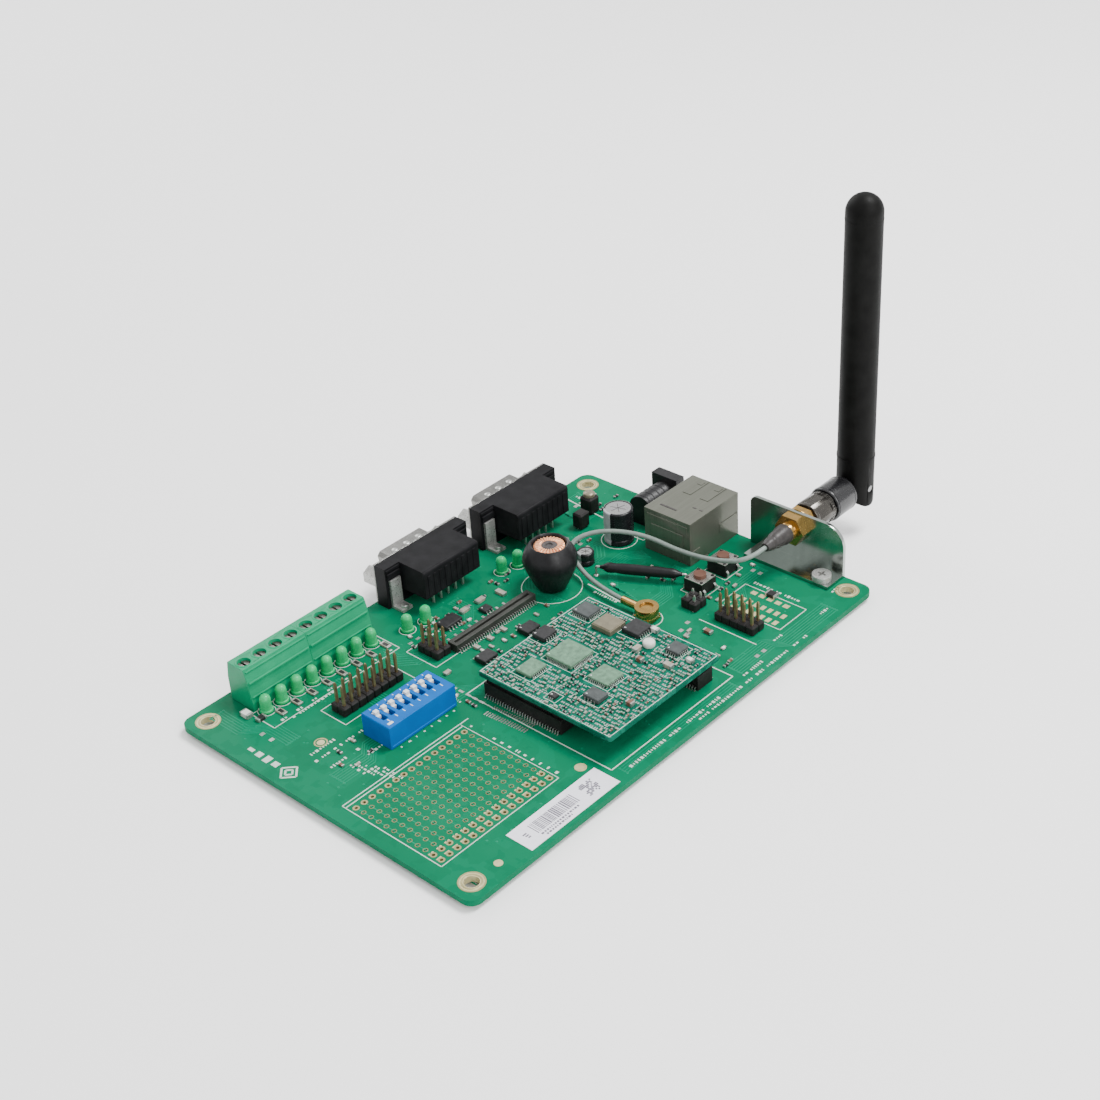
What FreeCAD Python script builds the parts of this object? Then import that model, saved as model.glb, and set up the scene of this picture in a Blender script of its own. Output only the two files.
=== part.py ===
"""Development board with terminal block, serial ports, network jack and antenna.

Millimetres. X runs along the short side of the board, Y along the long side, Z up.
The origin is the centre of the four mounting holes, on the underside of the board.
"""
import FreeCAD
import Part
import os

doc = FreeCAD.newDocument("DevBoard")

# --------------------------------------------------------------------------
# Driving dimensions
# --------------------------------------------------------------------------
DIMENSIONS = {
    "board_width": 101.6, "board_length": 152.4, "board_thick": 1.6, "board_corner": 3.0,
    "mount_half_x": 45.72, "mount_half_y": 71.12, "mount_hole": 3.8,
    "grid": 2.54, "proto_hole": 1.0, "proto_x": 7.6, "proto_y": -70.3,
    "tail_depth": 1.2, "pin_side": 0.64, "header_base_height": 2.54, "header_top": 10.1,
    "pole_pitch": 5.08, "terminal_poles": 4, "terminal_start": -61.3, "terminal_top": 13.2,
    "terminal_screw_x": -44.2, "terminal_screw_radius": 1.7, "screw_bore_radius": 1.76,
    "lamp_radius": 1.5, "lamp_height": 5.0,
    "switch_left": -11.15, "switch_width": 9.9, "switch_front": -50.6, "switch_length": 22.3,
    "switch_top": 8.12, "slot_length": 4.8, "slot_width": 1.5, "slot_depth": 1.4,
    "knob_length": 2.4, "knob_width": 1.3, "knob_rise": 0.7,
    "port_front": -50.0, "port_flange_length": 30.8, "port_top": 14.1, "port_rear": -35.8,
    "port_block_length": 20.3, "port_one_y": 5.7, "port_two_y": 41.9, "port_axis": 7.85,
    "jackscrew_half": 12.495, "port_pitch": 2.77,
    "net_left": -10.3, "net_width": 16.0, "net_rear": 55.1, "net_length": 21.3, "net_top": 15.0,
    "net_wall": 0.4, "net_mouth": 11.7, "net_mouth_height": 8.4, "net_mouth_depth": 12.0,
    "power_x": -18.8, "power_axis": 7.0, "power_front": 77.4, "power_bore": 6.3,
    "key_size": 6.0, "key_body_height": 3.7, "key_bore_radius": 1.76, "key_radius": 1.7,
    "key_plate": 0.25, "key_rise": 1.0,
    "module_left": 0.4, "module_width": 43.1, "module_front": -22.0, "module_depth": 41.5,
    "module_bottom": 8.0, "module_thick": 1.2,
    "plate_face": 75.0, "plate_thick": 1.0, "plate_left": 11.0, "plate_width": 30.6,
    "plate_top": 16.7, "foot_depth": 8.0,
    "rf_x": 26.0, "rf_z": 12.4, "rf_thread_radius": 3.15,
    "hinge_y": 103.0, "whip_radius": 5.2, "whip_top": 97.8, "whip_bottom": 7.2,
    "base_radius": 5.0, "tongue_thick": 3.6, "hinge_pin_radius": 1.0,
    "cable_diameter": 1.3,
}
sheet = doc.addObject("Spreadsheet::Sheet", "Dims")
for row, (word, value) in enumerate(DIMENSIONS.items(), start=1):
    sheet.set("A%d" % row, word)
    sheet.set("B%d" % row, str(value))
    sheet.setAlias("B%d" % row, word)
doc.recompute()

T = DIMENSIONS["board_thick"]
GRID = DIMENSIONS["grid"]


def expand(text):
    """Turn dimension words in a formula into references to the sheet."""
    words = sorted(DIMENSIONS, key=len, reverse=True)
    out = ""
    token = ""
    for letter in text + " ":
        if letter.isalnum() or letter == "_":
            token += letter
            continue
        out += "Dims." + token if token in words else token
        out += letter
        token = ""
    return out.strip()


def put(obj, prop, value):
    """Give a property a number, or bind it to a formula of dimension words."""
    if isinstance(value, str):
        obj.setExpression(prop, expand(value))
    elif prop.startswith("Placement.Base."):
        base = obj.Placement.Base
        setattr(base, prop[-1], value)
        obj.Placement = FreeCAD.Placement(base, obj.Placement.Rotation)
    else:
        setattr(obj, prop, value)


def place(obj, at, axis=None):
    """Put the corner or foot of a primitive at a point, its Z turned to an axis."""
    if axis is not None:
        turn = FreeCAD.Rotation(FreeCAD.Vector(0, 0, 1), FreeCAD.Vector(*axis))
        obj.Placement = FreeCAD.Placement(obj.Placement.Base, turn)
    for letter, value in zip("xyz", at):
        put(obj, "Placement.Base." + letter, value)


def box(name, at, size):
    obj = doc.addObject("Part::Box", name)
    for prop, value in zip(("Length", "Width", "Height"), size):
        put(obj, prop, value)
    place(obj, at)
    return obj


def rod(name, at, radius, height, axis=None):
    obj = doc.addObject("Part::Cylinder", name)
    put(obj, "Radius", radius)
    put(obj, "Height", height)
    place(obj, at, axis)
    return obj


def taper(name, at, radius_foot, radius_top, height, axis=None):
    obj = doc.addObject("Part::Cone", name)
    put(obj, "Radius1", radius_foot)
    put(obj, "Radius2", radius_top)
    put(obj, "Height", height)
    place(obj, at, axis)
    return obj


def ball(name, at, radius):
    obj = doc.addObject("Part::Sphere", name)
    put(obj, "Radius", radius)
    place(obj, at)
    return obj


def hexagon(name, at, across_flats, height, axis=None):
    obj = doc.addObject("Part::Prism", name)
    obj.Polygon = 6
    put(obj, "Circumradius", across_flats / 3 ** 0.5)
    put(obj, "Height", height)
    place(obj, at, axis)
    return obj


def join(name, parts):
    """Several solids, touching or not, as one object."""
    if len(parts) == 1:
        return parts[0]
    obj = doc.addObject("Part::MultiFuse", name)
    obj.Shapes = parts
    return obj


def group(name, parts):
    """Several separate solids kept side by side in one object."""
    obj = doc.addObject("Part::Compound", name)
    obj.Links = parts
    return obj


def cut(name, base, tools):
    obj = doc.addObject("Part::Cut", name)
    obj.Base = base
    obj.Tool = join(name + "_tools", tools)
    return obj


def soften(name, base, radius, pick):
    """Round the edges of a shape that a test picks out."""
    doc.recompute()
    chosen = []
    for index, edge in enumerate(base.Shape.Edges, start=1):
        if pick(edge):
            chosen.append((index, radius, radius))
    obj = doc.addObject("Part::Fillet", name)
    obj.Base = base
    obj.Edges = chosen
    return obj


def runs_along(edge, letter):
    """True for a straight edge parallel to the named axis."""
    ends = [vertex.Point for vertex in edge.Vertexes]
    if len(ends) != 2:
        return False
    span = ends[1] - ends[0]
    length = abs(getattr(span, letter))
    return length > 0.999 * span.Length and isinstance(edge.Curve, (Part.Line, Part.LineSegment))


def body_plane(body, role):
    for feature in body.Origin.OriginFeatures:
        if feature.Role == role:
            return feature
    raise ValueError(role)


def new_sketch(body, name, role):
    sketch = body.newObject("Sketcher::SketchObject", name)
    sketch.AttachmentSupport = (body_plane(body, role), [""])
    sketch.MapMode = "FlatFace"
    return sketch


def polygon(sketch, points):
    count = len(points)
    for index in range(count):
        a = FreeCAD.Vector(points[index][0], points[index][1], 0)
        b = FreeCAD.Vector(points[(index + 1) % count][0], points[(index + 1) % count][1], 0)
        sketch.addGeometry(Part.LineSegment(a, b), False)


def extruded(name, role, points, length):
    """A body padded from a closed outline drawn on one of its base planes."""
    body = doc.addObject("PartDesign::Body", name)
    sketch = new_sketch(body, name + "_outline", role)
    polygon(sketch, points)
    pad = body.newObject("PartDesign::Pad", name + "_pad")
    pad.Profile = sketch
    put(pad, "Length", length)
    body.Tip = pad
    doc.recompute()
    return body


NODES = []


def node(obj, label):
    """Register a finished sub-part under the name of its file."""
    obj.Label = label
    NODES.append((obj, label))
    return obj


# --------------------------------------------------------------------------
# Circuit board: pad, rounded corners, mounting holes, prototyping grid
# --------------------------------------------------------------------------
PROTO_COLUMNS = 12
PROTO_ROWS = 15


def make_board():
    body = doc.addObject("PartDesign::Body", "board_body")
    sketch = new_sketch(body, "board_outline", "XY_Plane")
    half_w = DIMENSIONS["board_width"] / 2
    half_l = DIMENSIONS["board_length"] / 2
    polygon(sketch, [(-half_w, -half_l), (half_w, -half_l), (half_w, half_l), (-half_w, half_l)])
    pad = body.newObject("PartDesign::Pad", "board_pad")
    pad.Profile = sketch
    put(pad, "Length", "board_thick")
    body.Tip = pad
    doc.recompute()

    corners = []
    for index, edge in enumerate(pad.Shape.Edges, start=1):
        if runs_along(edge, "z"):
            corners.append("Edge%d" % index)
    fillet = body.newObject("PartDesign::Fillet", "board_corners")
    fillet.Base = (pad, corners)
    put(fillet, "Radius", "board_corner")
    body.Tip = fillet
    doc.recompute()

    drills = new_sketch(body, "mount_drills", "XY_Plane")
    for side_x in (-1, 1):
        for side_y in (-1, 1):
            x = side_x * DIMENSIONS["mount_half_x"]
            y = side_y * DIMENSIONS["mount_half_y"]
            circle = Part.Circle(FreeCAD.Vector(x, y, 0), FreeCAD.Vector(0, 0, 1),
                                 DIMENSIONS["mount_hole"] / 2)
            drills.addGeometry(circle, False)
    pocket = body.newObject("PartDesign::Pocket", "mount_holes")
    pocket.Profile = drills
    pocket.Type = "ThroughAll"
    pocket.Midplane = True
    body.Tip = pocket
    doc.recompute()

    row = new_sketch(body, "proto_row", "XY_Plane")
    for index in range(PROTO_ROWS):
        centre = FreeCAD.Vector(DIMENSIONS["proto_x"], DIMENSIONS["proto_y"] + index * GRID, 0)
        circle = Part.Circle(centre, FreeCAD.Vector(0, 0, 1), DIMENSIONS["proto_hole"] / 2)
        row.addGeometry(circle, False)
    first = body.newObject("PartDesign::Pocket", "proto_first_column")
    first.Profile = row
    first.Type = "ThroughAll"
    first.Midplane = True
    body.Tip = first
    doc.recompute()

    columns = body.newObject("PartDesign::LinearPattern", "proto_columns")
    columns.Originals = [first]
    columns.Direction = (row, ["H_Axis"])
    put(columns, "Length", "grid * %d" % (PROTO_COLUMNS - 1))
    columns.Occurrences = PROTO_COLUMNS
    body.Tip = columns
    doc.recompute()
    return body


node(make_board(), "main_board")

# --------------------------------------------------------------------------
# Pin headers: two by eight, two by three, two by five
# --------------------------------------------------------------------------
HEADERS = (
    ("header_a", -24.5, -49.2, 2, 8),
    ("header_b", -25.6, -18.4, 3, 2),
    ("header_c", 26.2, 39.0, 5, 2),
)


def make_headers():
    bases = []
    pins = []
    for name, left, front, across, along in HEADERS:
        size = ("grid * %d" % across, "grid * %d" % along, "header_base_height")
        base = box(name + "_base", (left, front, "board_thick"), size)
        bores = []
        for i in range(across):
            for j in range(along):
                x = left + (i + 0.5) * GRID - 0.32
                y = front + (j + 0.5) * GRID - 0.32
                tag = "%s_%d_%d" % (name, i, j)
                bores.append(box(tag + "_bore", (x, y, "board_thick - 1"),
                                 ("pin_side", "pin_side", "header_base_height + 2")))
                pins.append(box(tag + "_pin", (x, y, "-tail_depth"),
                                ("pin_side", "pin_side", "header_top + tail_depth")))
        bases.append(cut(name + "_body", base, bores))
    return bases, pins


header_bases, header_pins = make_headers()
node(group("header_base_set", header_bases), "header_bases")
node(group("header_pin_set", header_pins), "header_pins")

# --------------------------------------------------------------------------
# Screw terminals: two interlocked four-pole blocks, their screws and clamps
# --------------------------------------------------------------------------
TERMINAL_PROFILE = ((-48.5, 1.6), (-39.6, 1.6), (-39.6, 3.8), (-40.3, 7.2), (-40.6, 9.8),
                    (-41.6, 13.2), (-47.7, 13.2), (-48.5, 8.6))
ENTRY_BOTTOM = 2.9
ENTRY_HEIGHT = 3.9
ENTRY_WIDTH = 3.8
SCREW_FOOT = 7.0
SCREW_TOP = 12.5


def pole_y(pole):
    return DIMENSIONS["terminal_start"] + (pole + 0.5) * DIMENSIONS["pole_pitch"]


def make_terminal(name, first_pole):
    """One four-pole housing, its wire mouths facing the board edge."""
    length = "pole_pitch * terminal_poles"
    block = extruded(name + "_body", "XZ_Plane", TERMINAL_PROFILE, length)
    wanted = DIMENSIONS["terminal_start"] + first_pole * DIMENSIONS["pole_pitch"]
    shift = wanted - block.Shape.BoundBox.YMin
    put(block, "Placement.Base.y", shift)
    tools = []
    for pole in range(first_pole, first_pole + 4):
        y = pole_y(pole)
        tools.append(box("%s_mouth_%d" % (name, pole), (-49.5, y - ENTRY_WIDTH / 2, ENTRY_BOTTOM),
                         (7.6, ENTRY_WIDTH, ENTRY_HEIGHT)))
        tools.append(rod("%s_bore_%d" % (name, pole), ("terminal_screw_x", y, ENTRY_BOTTOM + 1),
                         "screw_bore_radius", 12))
    for pole in range(first_pole, first_pole + 3):
        y = pole_y(pole) + DIMENSIONS["pole_pitch"] / 2
        tools.append(box("%s_groove_%d" % (name, pole), (-48.9, y - 0.2, 1), (0.8, 0.4, 11.2)))
    return cut(name, block, tools)


def make_terminal_screw(index):
    y = pole_y(index)
    name = "clamp_screw_%d" % (index + 1)
    height = SCREW_TOP - SCREW_FOOT
    shank = rod(name + "_shank", ("terminal_screw_x", y, SCREW_FOOT), "terminal_screw_radius", height)
    slot = box(name + "_slot", (DIMENSIONS["terminal_screw_x"] - 2.2, y - 0.3, SCREW_TOP - 0.9),
               (4.4, 0.6, 2))
    return cut(name, shank, [slot])


def make_terminal_metal():
    """Eight brass clamp boxes and the solder pin below each."""
    clamps = []
    pins = []
    for pole in range(8):
        y = pole_y(pole)
        tag = "clamp_%d" % pole
        shell = box(tag + "_shell", (-46.0, y - 1.7, ENTRY_BOTTOM), (3.6, 3.4, 3.7))
        window = box(tag + "_window", (-46.5, y - 1.2, ENTRY_BOTTOM + 0.8), (4.6, 2.4, 2.3))
        clamps.append(cut(tag, shell, [window]))
        pins.append(box("solder_pin_%d" % pole, (-44.7, y - 0.5, "-tail_depth"),
                        (1.0, 1.0, "tail_depth + %s" % ENTRY_BOTTOM)))
    return clamps, pins


node(make_terminal("terminal_a", 0), "terminal_housing_a")
node(make_terminal("terminal_b", 4), "terminal_housing_b")
for screw_index in range(8):
    node(make_terminal_screw(screw_index), "terminal_screw_%d" % (screw_index + 1))
terminal_clamps, terminal_pins = make_terminal_metal()
node(group("terminal_clamp_set", terminal_clamps), "terminal_clamps")

# --------------------------------------------------------------------------
# Indicator lamps: a row of eight beside the terminals and four more
# --------------------------------------------------------------------------
LAMP_ROW_X = -37.4
LAMP_ROW_Y = -59.2
EXTRA_LAMPS = ((-34.5, -13.3), (-33.6, -7.4), (-33.8, 22.0), (-32.6, 27.2))


def lamp_places():
    row = [(LAMP_ROW_X, LAMP_ROW_Y + 5.1 * i) for i in range(8)]
    return row + list(EXTRA_LAMPS)


def make_lamps():
    lenses = []
    leads = []
    for index, (x, y) in enumerate(lamp_places()):
        tag = "lamp_%d" % index
        rim = rod(tag + "_rim", (x, y, "board_thick"), "lamp_radius + 0.3", 0.8)
        tube = rod(tag + "_tube", (x, y, "board_thick"), "lamp_radius", "lamp_height - lamp_radius")
        dome = ball(tag + "_dome", (x, y, "board_thick + lamp_height - lamp_radius"), "lamp_radius")
        lenses.append(join(tag + "_lens", [rim, tube, dome]))
        for side in (-1, 1):
            leads.append(box("%s_lead_%d" % (tag, side + 1),
                             (x - 0.22, y + side * 1.27 / 2 - 0.22, "-tail_depth"),
                             (0.44, 0.44, "tail_depth + board_thick")))
    return lenses, leads


lamp_lenses, lamp_leads = make_lamps()
node(group("lamp_lens_set", lamp_lenses), "lamp_lenses")

# --------------------------------------------------------------------------
# Small surface parts on the main board: (x, y, size along x, size along y, height)
# --------------------------------------------------------------------------
RESISTOR_X = -33.9
SMALL_PARTS = (
    (-39.7, -63.7, 3.0, 2.0, 1.3), (-35.7, -62.4, 1.6, 2.6, 1.0), (28.6, 33.6, 2.6, 1.4, 1.0),
    (31.6, 57.1, 3.2, 2.2, 1.1),
    (-28.6, 2.0, 1.6, 3.0, 0.9), (-28.6, 8.0, 1.6, 3.0, 0.9), (-26.6, 14.0, 3.2, 1.6, 0.9),
    (-14.2, -8.0, 2.0, 1.3, 0.8), (-14.2, -3.0, 2.0, 1.3, 0.8), (-14.2, 2.0, 2.0, 1.3, 0.8),
    (-9.0, -10.0, 4.9, 3.9, 1.6), (-8.6, 6.0, 4.9, 3.9, 1.6), (-12.5, -20.5, 1.3, 2.0, 0.8),
)


def make_small_parts():
    parts = []
    for index in range(8):
        y = -57.4 + 5.08 * index
        parts.append(box("resistor_%d" % index, (RESISTOR_X - 1.6, y - 0.8, "board_thick"),
                         (3.2, 1.6, 0.6)))
    for index, (x, y, wide, deep, high) in enumerate(SMALL_PARTS):
        parts.append(box("small_%d" % index, (x - wide / 2, y - deep / 2, "board_thick"),
                         (wide, deep, high)))
    return parts


UPRIGHT_BLOCKS = ((-35.5, 60.5, 4.2, 4.2, 6.4), (18.1, 40.9, 5.0, 5.0, 4.5), (-31.8, 52.6, 3.4, 4.0, 5.0))


def make_upright_blocks():
    parts = []
    for index, (x, y, wide, deep, high) in enumerate(UPRIGHT_BLOCKS):
        parts.append(box("upright_%d" % index, (x - wide / 2, y - deep / 2, "board_thick"),
                         (wide, deep, high)))
    return parts


node(group("small_part_set", make_small_parts()), "surface_parts")
node(group("upright_block_set", make_upright_blocks()), "upright_blocks")

# --------------------------------------------------------------------------
# Eight-way slide switch: housing with slots, eight knobs, leads
# --------------------------------------------------------------------------
SLOT_LEFT = -9.5
KNOB_GAP = 0.1


def slot_y(index):
    centre = DIMENSIONS["switch_front"] + DIMENSIONS["switch_length"] / 2
    return centre + (index - 3.5) * GRID


def make_switch_housing():
    shell = box("switch_block", ("switch_left", "switch_front", "board_thick"),
                ("switch_width", "switch_length", "switch_top - board_thick"))
    rounded = soften("switch_rounded", shell, 0.3,
                     lambda edge: edge.BoundBox.ZMin > 5)
    slots = []
    for index in range(8):
        y = slot_y(index)
        slots.append(box("switch_slot_%d" % index,
                         (SLOT_LEFT, y - DIMENSIONS["slot_width"] / 2, "switch_top - slot_depth"),
                         ("slot_length", "slot_width", 3)))
    return cut("switch_housing", rounded, slots)


def make_knob(index):
    """One sliding knob: a foot in the slot and a raised rib for a fingertip."""
    name = "knob_%d" % (index + 1)
    y = slot_y(index)
    left = SLOT_LEFT + KNOB_GAP
    foot = box(name + "_foot", (left, y - DIMENSIONS["knob_width"] / 2, "switch_top - slot_depth"),
               ("knob_length", "knob_width", "slot_depth - 0.3"))
    rib = box(name + "_rib", (left + 0.6, y - DIMENSIONS["knob_width"] / 2, "switch_top - slot_depth"),
              ("knob_length - 1.2", "knob_width", "slot_depth + knob_rise"))
    return join(name, [foot, rib])


def make_switch_leads():
    leads = []
    for index in range(8):
        for side, x in enumerate((-10.0, -2.4)):
            leads.append(box("switch_lead_%d_%d" % (index, side),
                             (x - 0.25, slot_y(index) - 0.25, "-tail_depth"),
                             (0.5, 0.5, "tail_depth + board_thick")))
    return leads


node(make_switch_housing(), "switch_housing")
for knob_index in range(8):
    node(make_knob(knob_index), "switch_knob_%d" % (knob_index + 1))
switch_leads = make_switch_leads()

# --------------------------------------------------------------------------
# Two nine-way serial ports on the long edge
# --------------------------------------------------------------------------
SHELL_DEPTH = 6.0
SHELL_WALL = 0.5
PIN_ROWS = ((5, 1.42), (4, -1.42))


def shell_outline(half_long, half_short, half_narrow):
    """Wide row on top, narrow row below, the corners cut off."""
    return ((-half_long + 1, half_short), (half_long - 1, half_short), (half_long, half_short - 1),
            (half_narrow, -half_short + 1), (half_narrow - 1, -half_short),
            (-half_narrow + 1, -half_short), (-half_narrow, -half_short + 1),
            (-half_long, half_short - 1))


def make_port(tag, centre_y):
    """Housing, face plate with shell, contacts, board clips and jackscrews of one port."""
    front = DIMENSIONS["port_front"]
    half = DIMENSIONS["port_flange_length"] / 2
    block_half = DIMENSIONS["port_block_length"] / 2
    face = box(tag + "_front_block", (front + 0.6, centre_y - half, "board_thick"),
               (4.0, "port_flange_length", "port_top - board_thick"))
    rear = box(tag + "_rear_block", (front + 4.6, centre_y - block_half, 5.8),
               ("port_rear - port_front - 4.6", "port_block_length", "port_top - 5.8"))
    soft = soften(tag + "_rear_soft", rear, 0.8,
                  lambda edge: edge.BoundBox.ZMin > 14 and edge.BoundBox.XMin > front + 4.7)
    whole = join(tag + "_whole", [face, soft])
    bolt_holes = []
    for side in (-1, 1):
        y = centre_y + side * DIMENSIONS["jackscrew_half"]
        bolt_holes.append(rod("%s_bolt_hole_%d" % (tag, side + 1), (front - 1, y, "port_axis"),
                              1.6, 8, (1, 0, 0)))
    housing = cut(tag + "_housing", whole, bolt_holes)

    plate = box(tag + "_plate", (front, centre_y - half, "board_thick"),
                (0.6, "port_flange_length", "port_top - board_thick"))
    outer = extruded(tag + "_shell_outer", "YZ_Plane", shell_outline(8.45, 4.15, 7.45), SHELL_DEPTH)
    inner = extruded(tag + "_shell_inner", "YZ_Plane", shell_outline(7.95, 3.65, 6.95),
                     SHELL_DEPTH + 2)
    for piece, start in ((outer, front - SHELL_DEPTH), (inner, front - SHELL_DEPTH - 1)):
        place(piece, (start - piece.Shape.BoundBox.XMin, centre_y, "port_axis"))
    ring = cut(tag + "_ring", outer, [inner])
    plate_holes = []
    for side in (-1, 1):
        y = centre_y + side * DIMENSIONS["jackscrew_half"]
        plate_holes.append(rod("%s_plate_hole_%d" % (tag, side + 1), (front - 1, y, "port_axis"),
                               1.6, 3, (1, 0, 0)))
    face_plate = cut(tag + "_face_plate", plate, plate_holes)
    shell = join(tag + "_shell", [face_plate, ring])

    contacts = []
    for count, rise in PIN_ROWS:
        for index in range(count):
            y = centre_y + (index - (count - 1) / 2) * DIMENSIONS["port_pitch"]
            contacts.append(rod("%s_pin_%d_%d" % (tag, count, index),
                                (front - 5.0, y, "port_axis + %s" % rise), 0.5, 5.0, (1, 0, 0)))
            x = -38.6 if count == 5 else -41.4
            contacts.append(box("%s_tail_%d_%d" % (tag, count, index), (x, y - 0.3, "-tail_depth"),
                                (0.6, 0.6, "tail_depth + 5.8")))

    clips = []
    for side in (-1, 1):
        y = centre_y + side * 12.5
        upright = box("%s_clip_%d" % (tag, side + 1), (front + 4.6, y - 1.8, "board_thick"),
                      (0.8, 3.6, 8.6))
        foot = box("%s_clip_foot_%d" % (tag, side + 1), (front + 4.6, y - 1.8, "board_thick"),
                   (4.4, 3.6, 0.8))
        clips.append(join("%s_strap_%d" % (tag, side + 1), [upright, foot]))

    screws = []
    for side in (-1, 1):
        y = centre_y + side * DIMENSIONS["jackscrew_half"]
        head = hexagon("%s_standoff_%d" % (tag, side + 1), (front - 5, y, "port_axis"),
                       4.75, 5, (1, 0, 0))
        bore = rod("%s_standoff_bore_%d" % (tag, side + 1), (front - 6, y, "port_axis"),
                   1.25, 5.2, (1, 0, 0))
        stud = rod("%s_stud_%d" % (tag, side + 1), (front - 0.5, y, "port_axis"), 1.5, 5.0, (1, 0, 0))
        hollow = cut("%s_hollow_%d" % (tag, side + 1), head, [bore])
        screws.append(join("%s_jackscrew_%d" % (tag, side + 1), [hollow, stud]))
    return housing, shell, contacts, clips, screws


port_housings = []
port_shells = []
port_contacts = []
port_hardware = []
for letter, centre in (("a", DIMENSIONS["port_one_y"]), ("b", DIMENSIONS["port_two_y"])):
    made = make_port("port_" + letter, centre)
    port_housings.append(made[0])
    port_shells.append(made[1])
    port_contacts += made[2]
    port_hardware += made[3] + made[4]
node(group("port_housing_set", port_housings), "serial_housings")
node(group("port_shell_set", port_shells), "serial_shells")
node(group("port_contact_set", port_contacts), "serial_contacts")
node(group("port_hardware_set", port_hardware), "serial_hardware")

# --------------------------------------------------------------------------
# Network jack: folded shield, insert with a mouth, eight spring contacts
# --------------------------------------------------------------------------


def make_network_jack():
    wall = DIMENSIONS["net_wall"]
    left = DIMENSIONS["net_left"]
    rear = DIMENSIONS["net_rear"]
    front = rear + DIMENSIONS["net_length"]
    outer = box("net_outer", ("net_left", "net_rear", "board_thick"),
                ("net_width", "net_length", "net_top - board_thick"))
    hollow = box("net_hollow", (left + wall, rear + wall, T - 1),
                 ("net_width - 2 * net_wall", "net_length + 2", "net_top - board_thick + 1 - net_wall"))
    shield = cut("net_shield", outer, [hollow])

    mouth = DIMENSIONS["net_mouth"]
    depth = DIMENSIONS["net_mouth_depth"]
    centre = left + DIMENSIONS["net_width"] / 2
    block = box("net_block", (left + wall, rear + wall, "board_thick"),
                ("net_width - 2 * net_wall", "net_length - net_wall - 0.3",
                 "net_top - board_thick - net_wall"))
    cavity = box("net_cavity", (centre - mouth / 2, front - depth, 4.0),
                 ("net_mouth", depth + 2, "net_mouth_height"))
    latch = box("net_latch_slot", (centre - 3.1, front - depth, 2.4), (6.2, depth + 2, 2))
    insert = cut("net_insert", block, [cavity, latch])

    springs = []
    for index in range(8):
        x = centre + (index - 3.5) * 1.27
        springs.append(rod("net_spring_%d" % index, (x, front - depth, 8.4), 0.2, 7.0,
                           (0, 0.86, 0.5)))
    return shield, insert, springs


net_parts = make_network_jack()
node(net_parts[0], "network_shield")
node(net_parts[1], "network_insert")
node(group("net_spring_set", net_parts[2]), "network_contacts")

# --------------------------------------------------------------------------
# Power jack: square collar, round barrel, centre pin
# --------------------------------------------------------------------------


def make_power_jack():
    collar = box("power_collar", ("power_x - 4.5", "power_front - 3.4", "board_thick"),
                 (9.0, 3.4, 11.0))
    saddle = box("power_saddle", ("power_x - 4.0", 63.6, "board_thick"), (8.0, 10.6, 4.9))
    barrel = rod("power_barrel", ("power_x", 63.6, 6.5), 4.2, 10.6, (0, 1, 0))
    whole = join("power_whole", [collar, saddle, barrel])
    bore = rod("power_bore_tool", ("power_x", 66.0, "power_axis"), "power_bore / 2", 14, (0, 1, 0))
    jack = cut("power_jack_shape", whole, [bore])
    pin = rod("power_pin", ("power_x", 66.0, "power_axis"), 1.0, 9.6, (0, 1, 0))
    tails = []
    for index, (x, y) in enumerate(((-20.8, 64.6), (-16.8, 70.0), (-20.8, 72.0))):
        tails.append(box("power_tail_%d" % index, (x - 0.4, y, "-tail_depth"),
                         (0.8, 1.6, "tail_depth + board_thick")))
    return jack, [pin], tails


power_jack, power_pin, power_tails = make_power_jack()
node(power_jack, "power_jack")
node(group("power_metal_set", power_pin + power_tails), "power_jack_metal")

# --------------------------------------------------------------------------
# Two push keys
# --------------------------------------------------------------------------
KEY_PLACES = ((13.5, 59.4), (14.3, 48.4))


def make_key(index, x, y):
    """Key base, metal top plate and the plunger that runs in both."""
    tag = "key_%d" % (index + 1)
    half = DIMENSIONS["key_size"] / 2
    base = box(tag + "_base", (x - half, y - half, "board_thick"),
               ("key_size", "key_size", "key_body_height"))
    well = rod(tag + "_well", (x, y, "board_thick + 1.8"), "key_bore_radius", 6)
    body = cut(tag + "_body", base, [well])
    sheet_metal = box(tag + "_sheet", (x - half, y - half, "board_thick + key_body_height"),
                      ("key_size", "key_size", "key_plate"))
    eye = rod(tag + "_eye", (x, y, "board_thick"), "key_bore_radius", 8)
    plate = cut(tag + "_plate", sheet_metal, [eye])
    plunger = rod(tag + "_plunger", (x, y, "board_thick + 2.2"), "key_radius",
                  "key_body_height + key_plate + key_rise - 2.2")
    return body, plate, plunger


key_bodies = []
key_plates = []
for key_index, (key_x, key_y) in enumerate(KEY_PLACES):
    key_body, key_plate, key_plunger = make_key(key_index, key_x, key_y)
    key_bodies.append(key_body)
    key_plates.append(key_plate)
    node(key_plunger, "key_button_%d" % (key_index + 1))
node(group("key_body_set", key_bodies), "key_bodies")
node(group("key_plate_set", key_plates), "key_plates")

# --------------------------------------------------------------------------
# Capacitors, chokes and other upright parts
# --------------------------------------------------------------------------
CHOKE_X = -18.0
CHOKE_Y = 25.0
CHOKE_WAIST = 7.6
CHOKE_SEAT = 14.2


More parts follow.
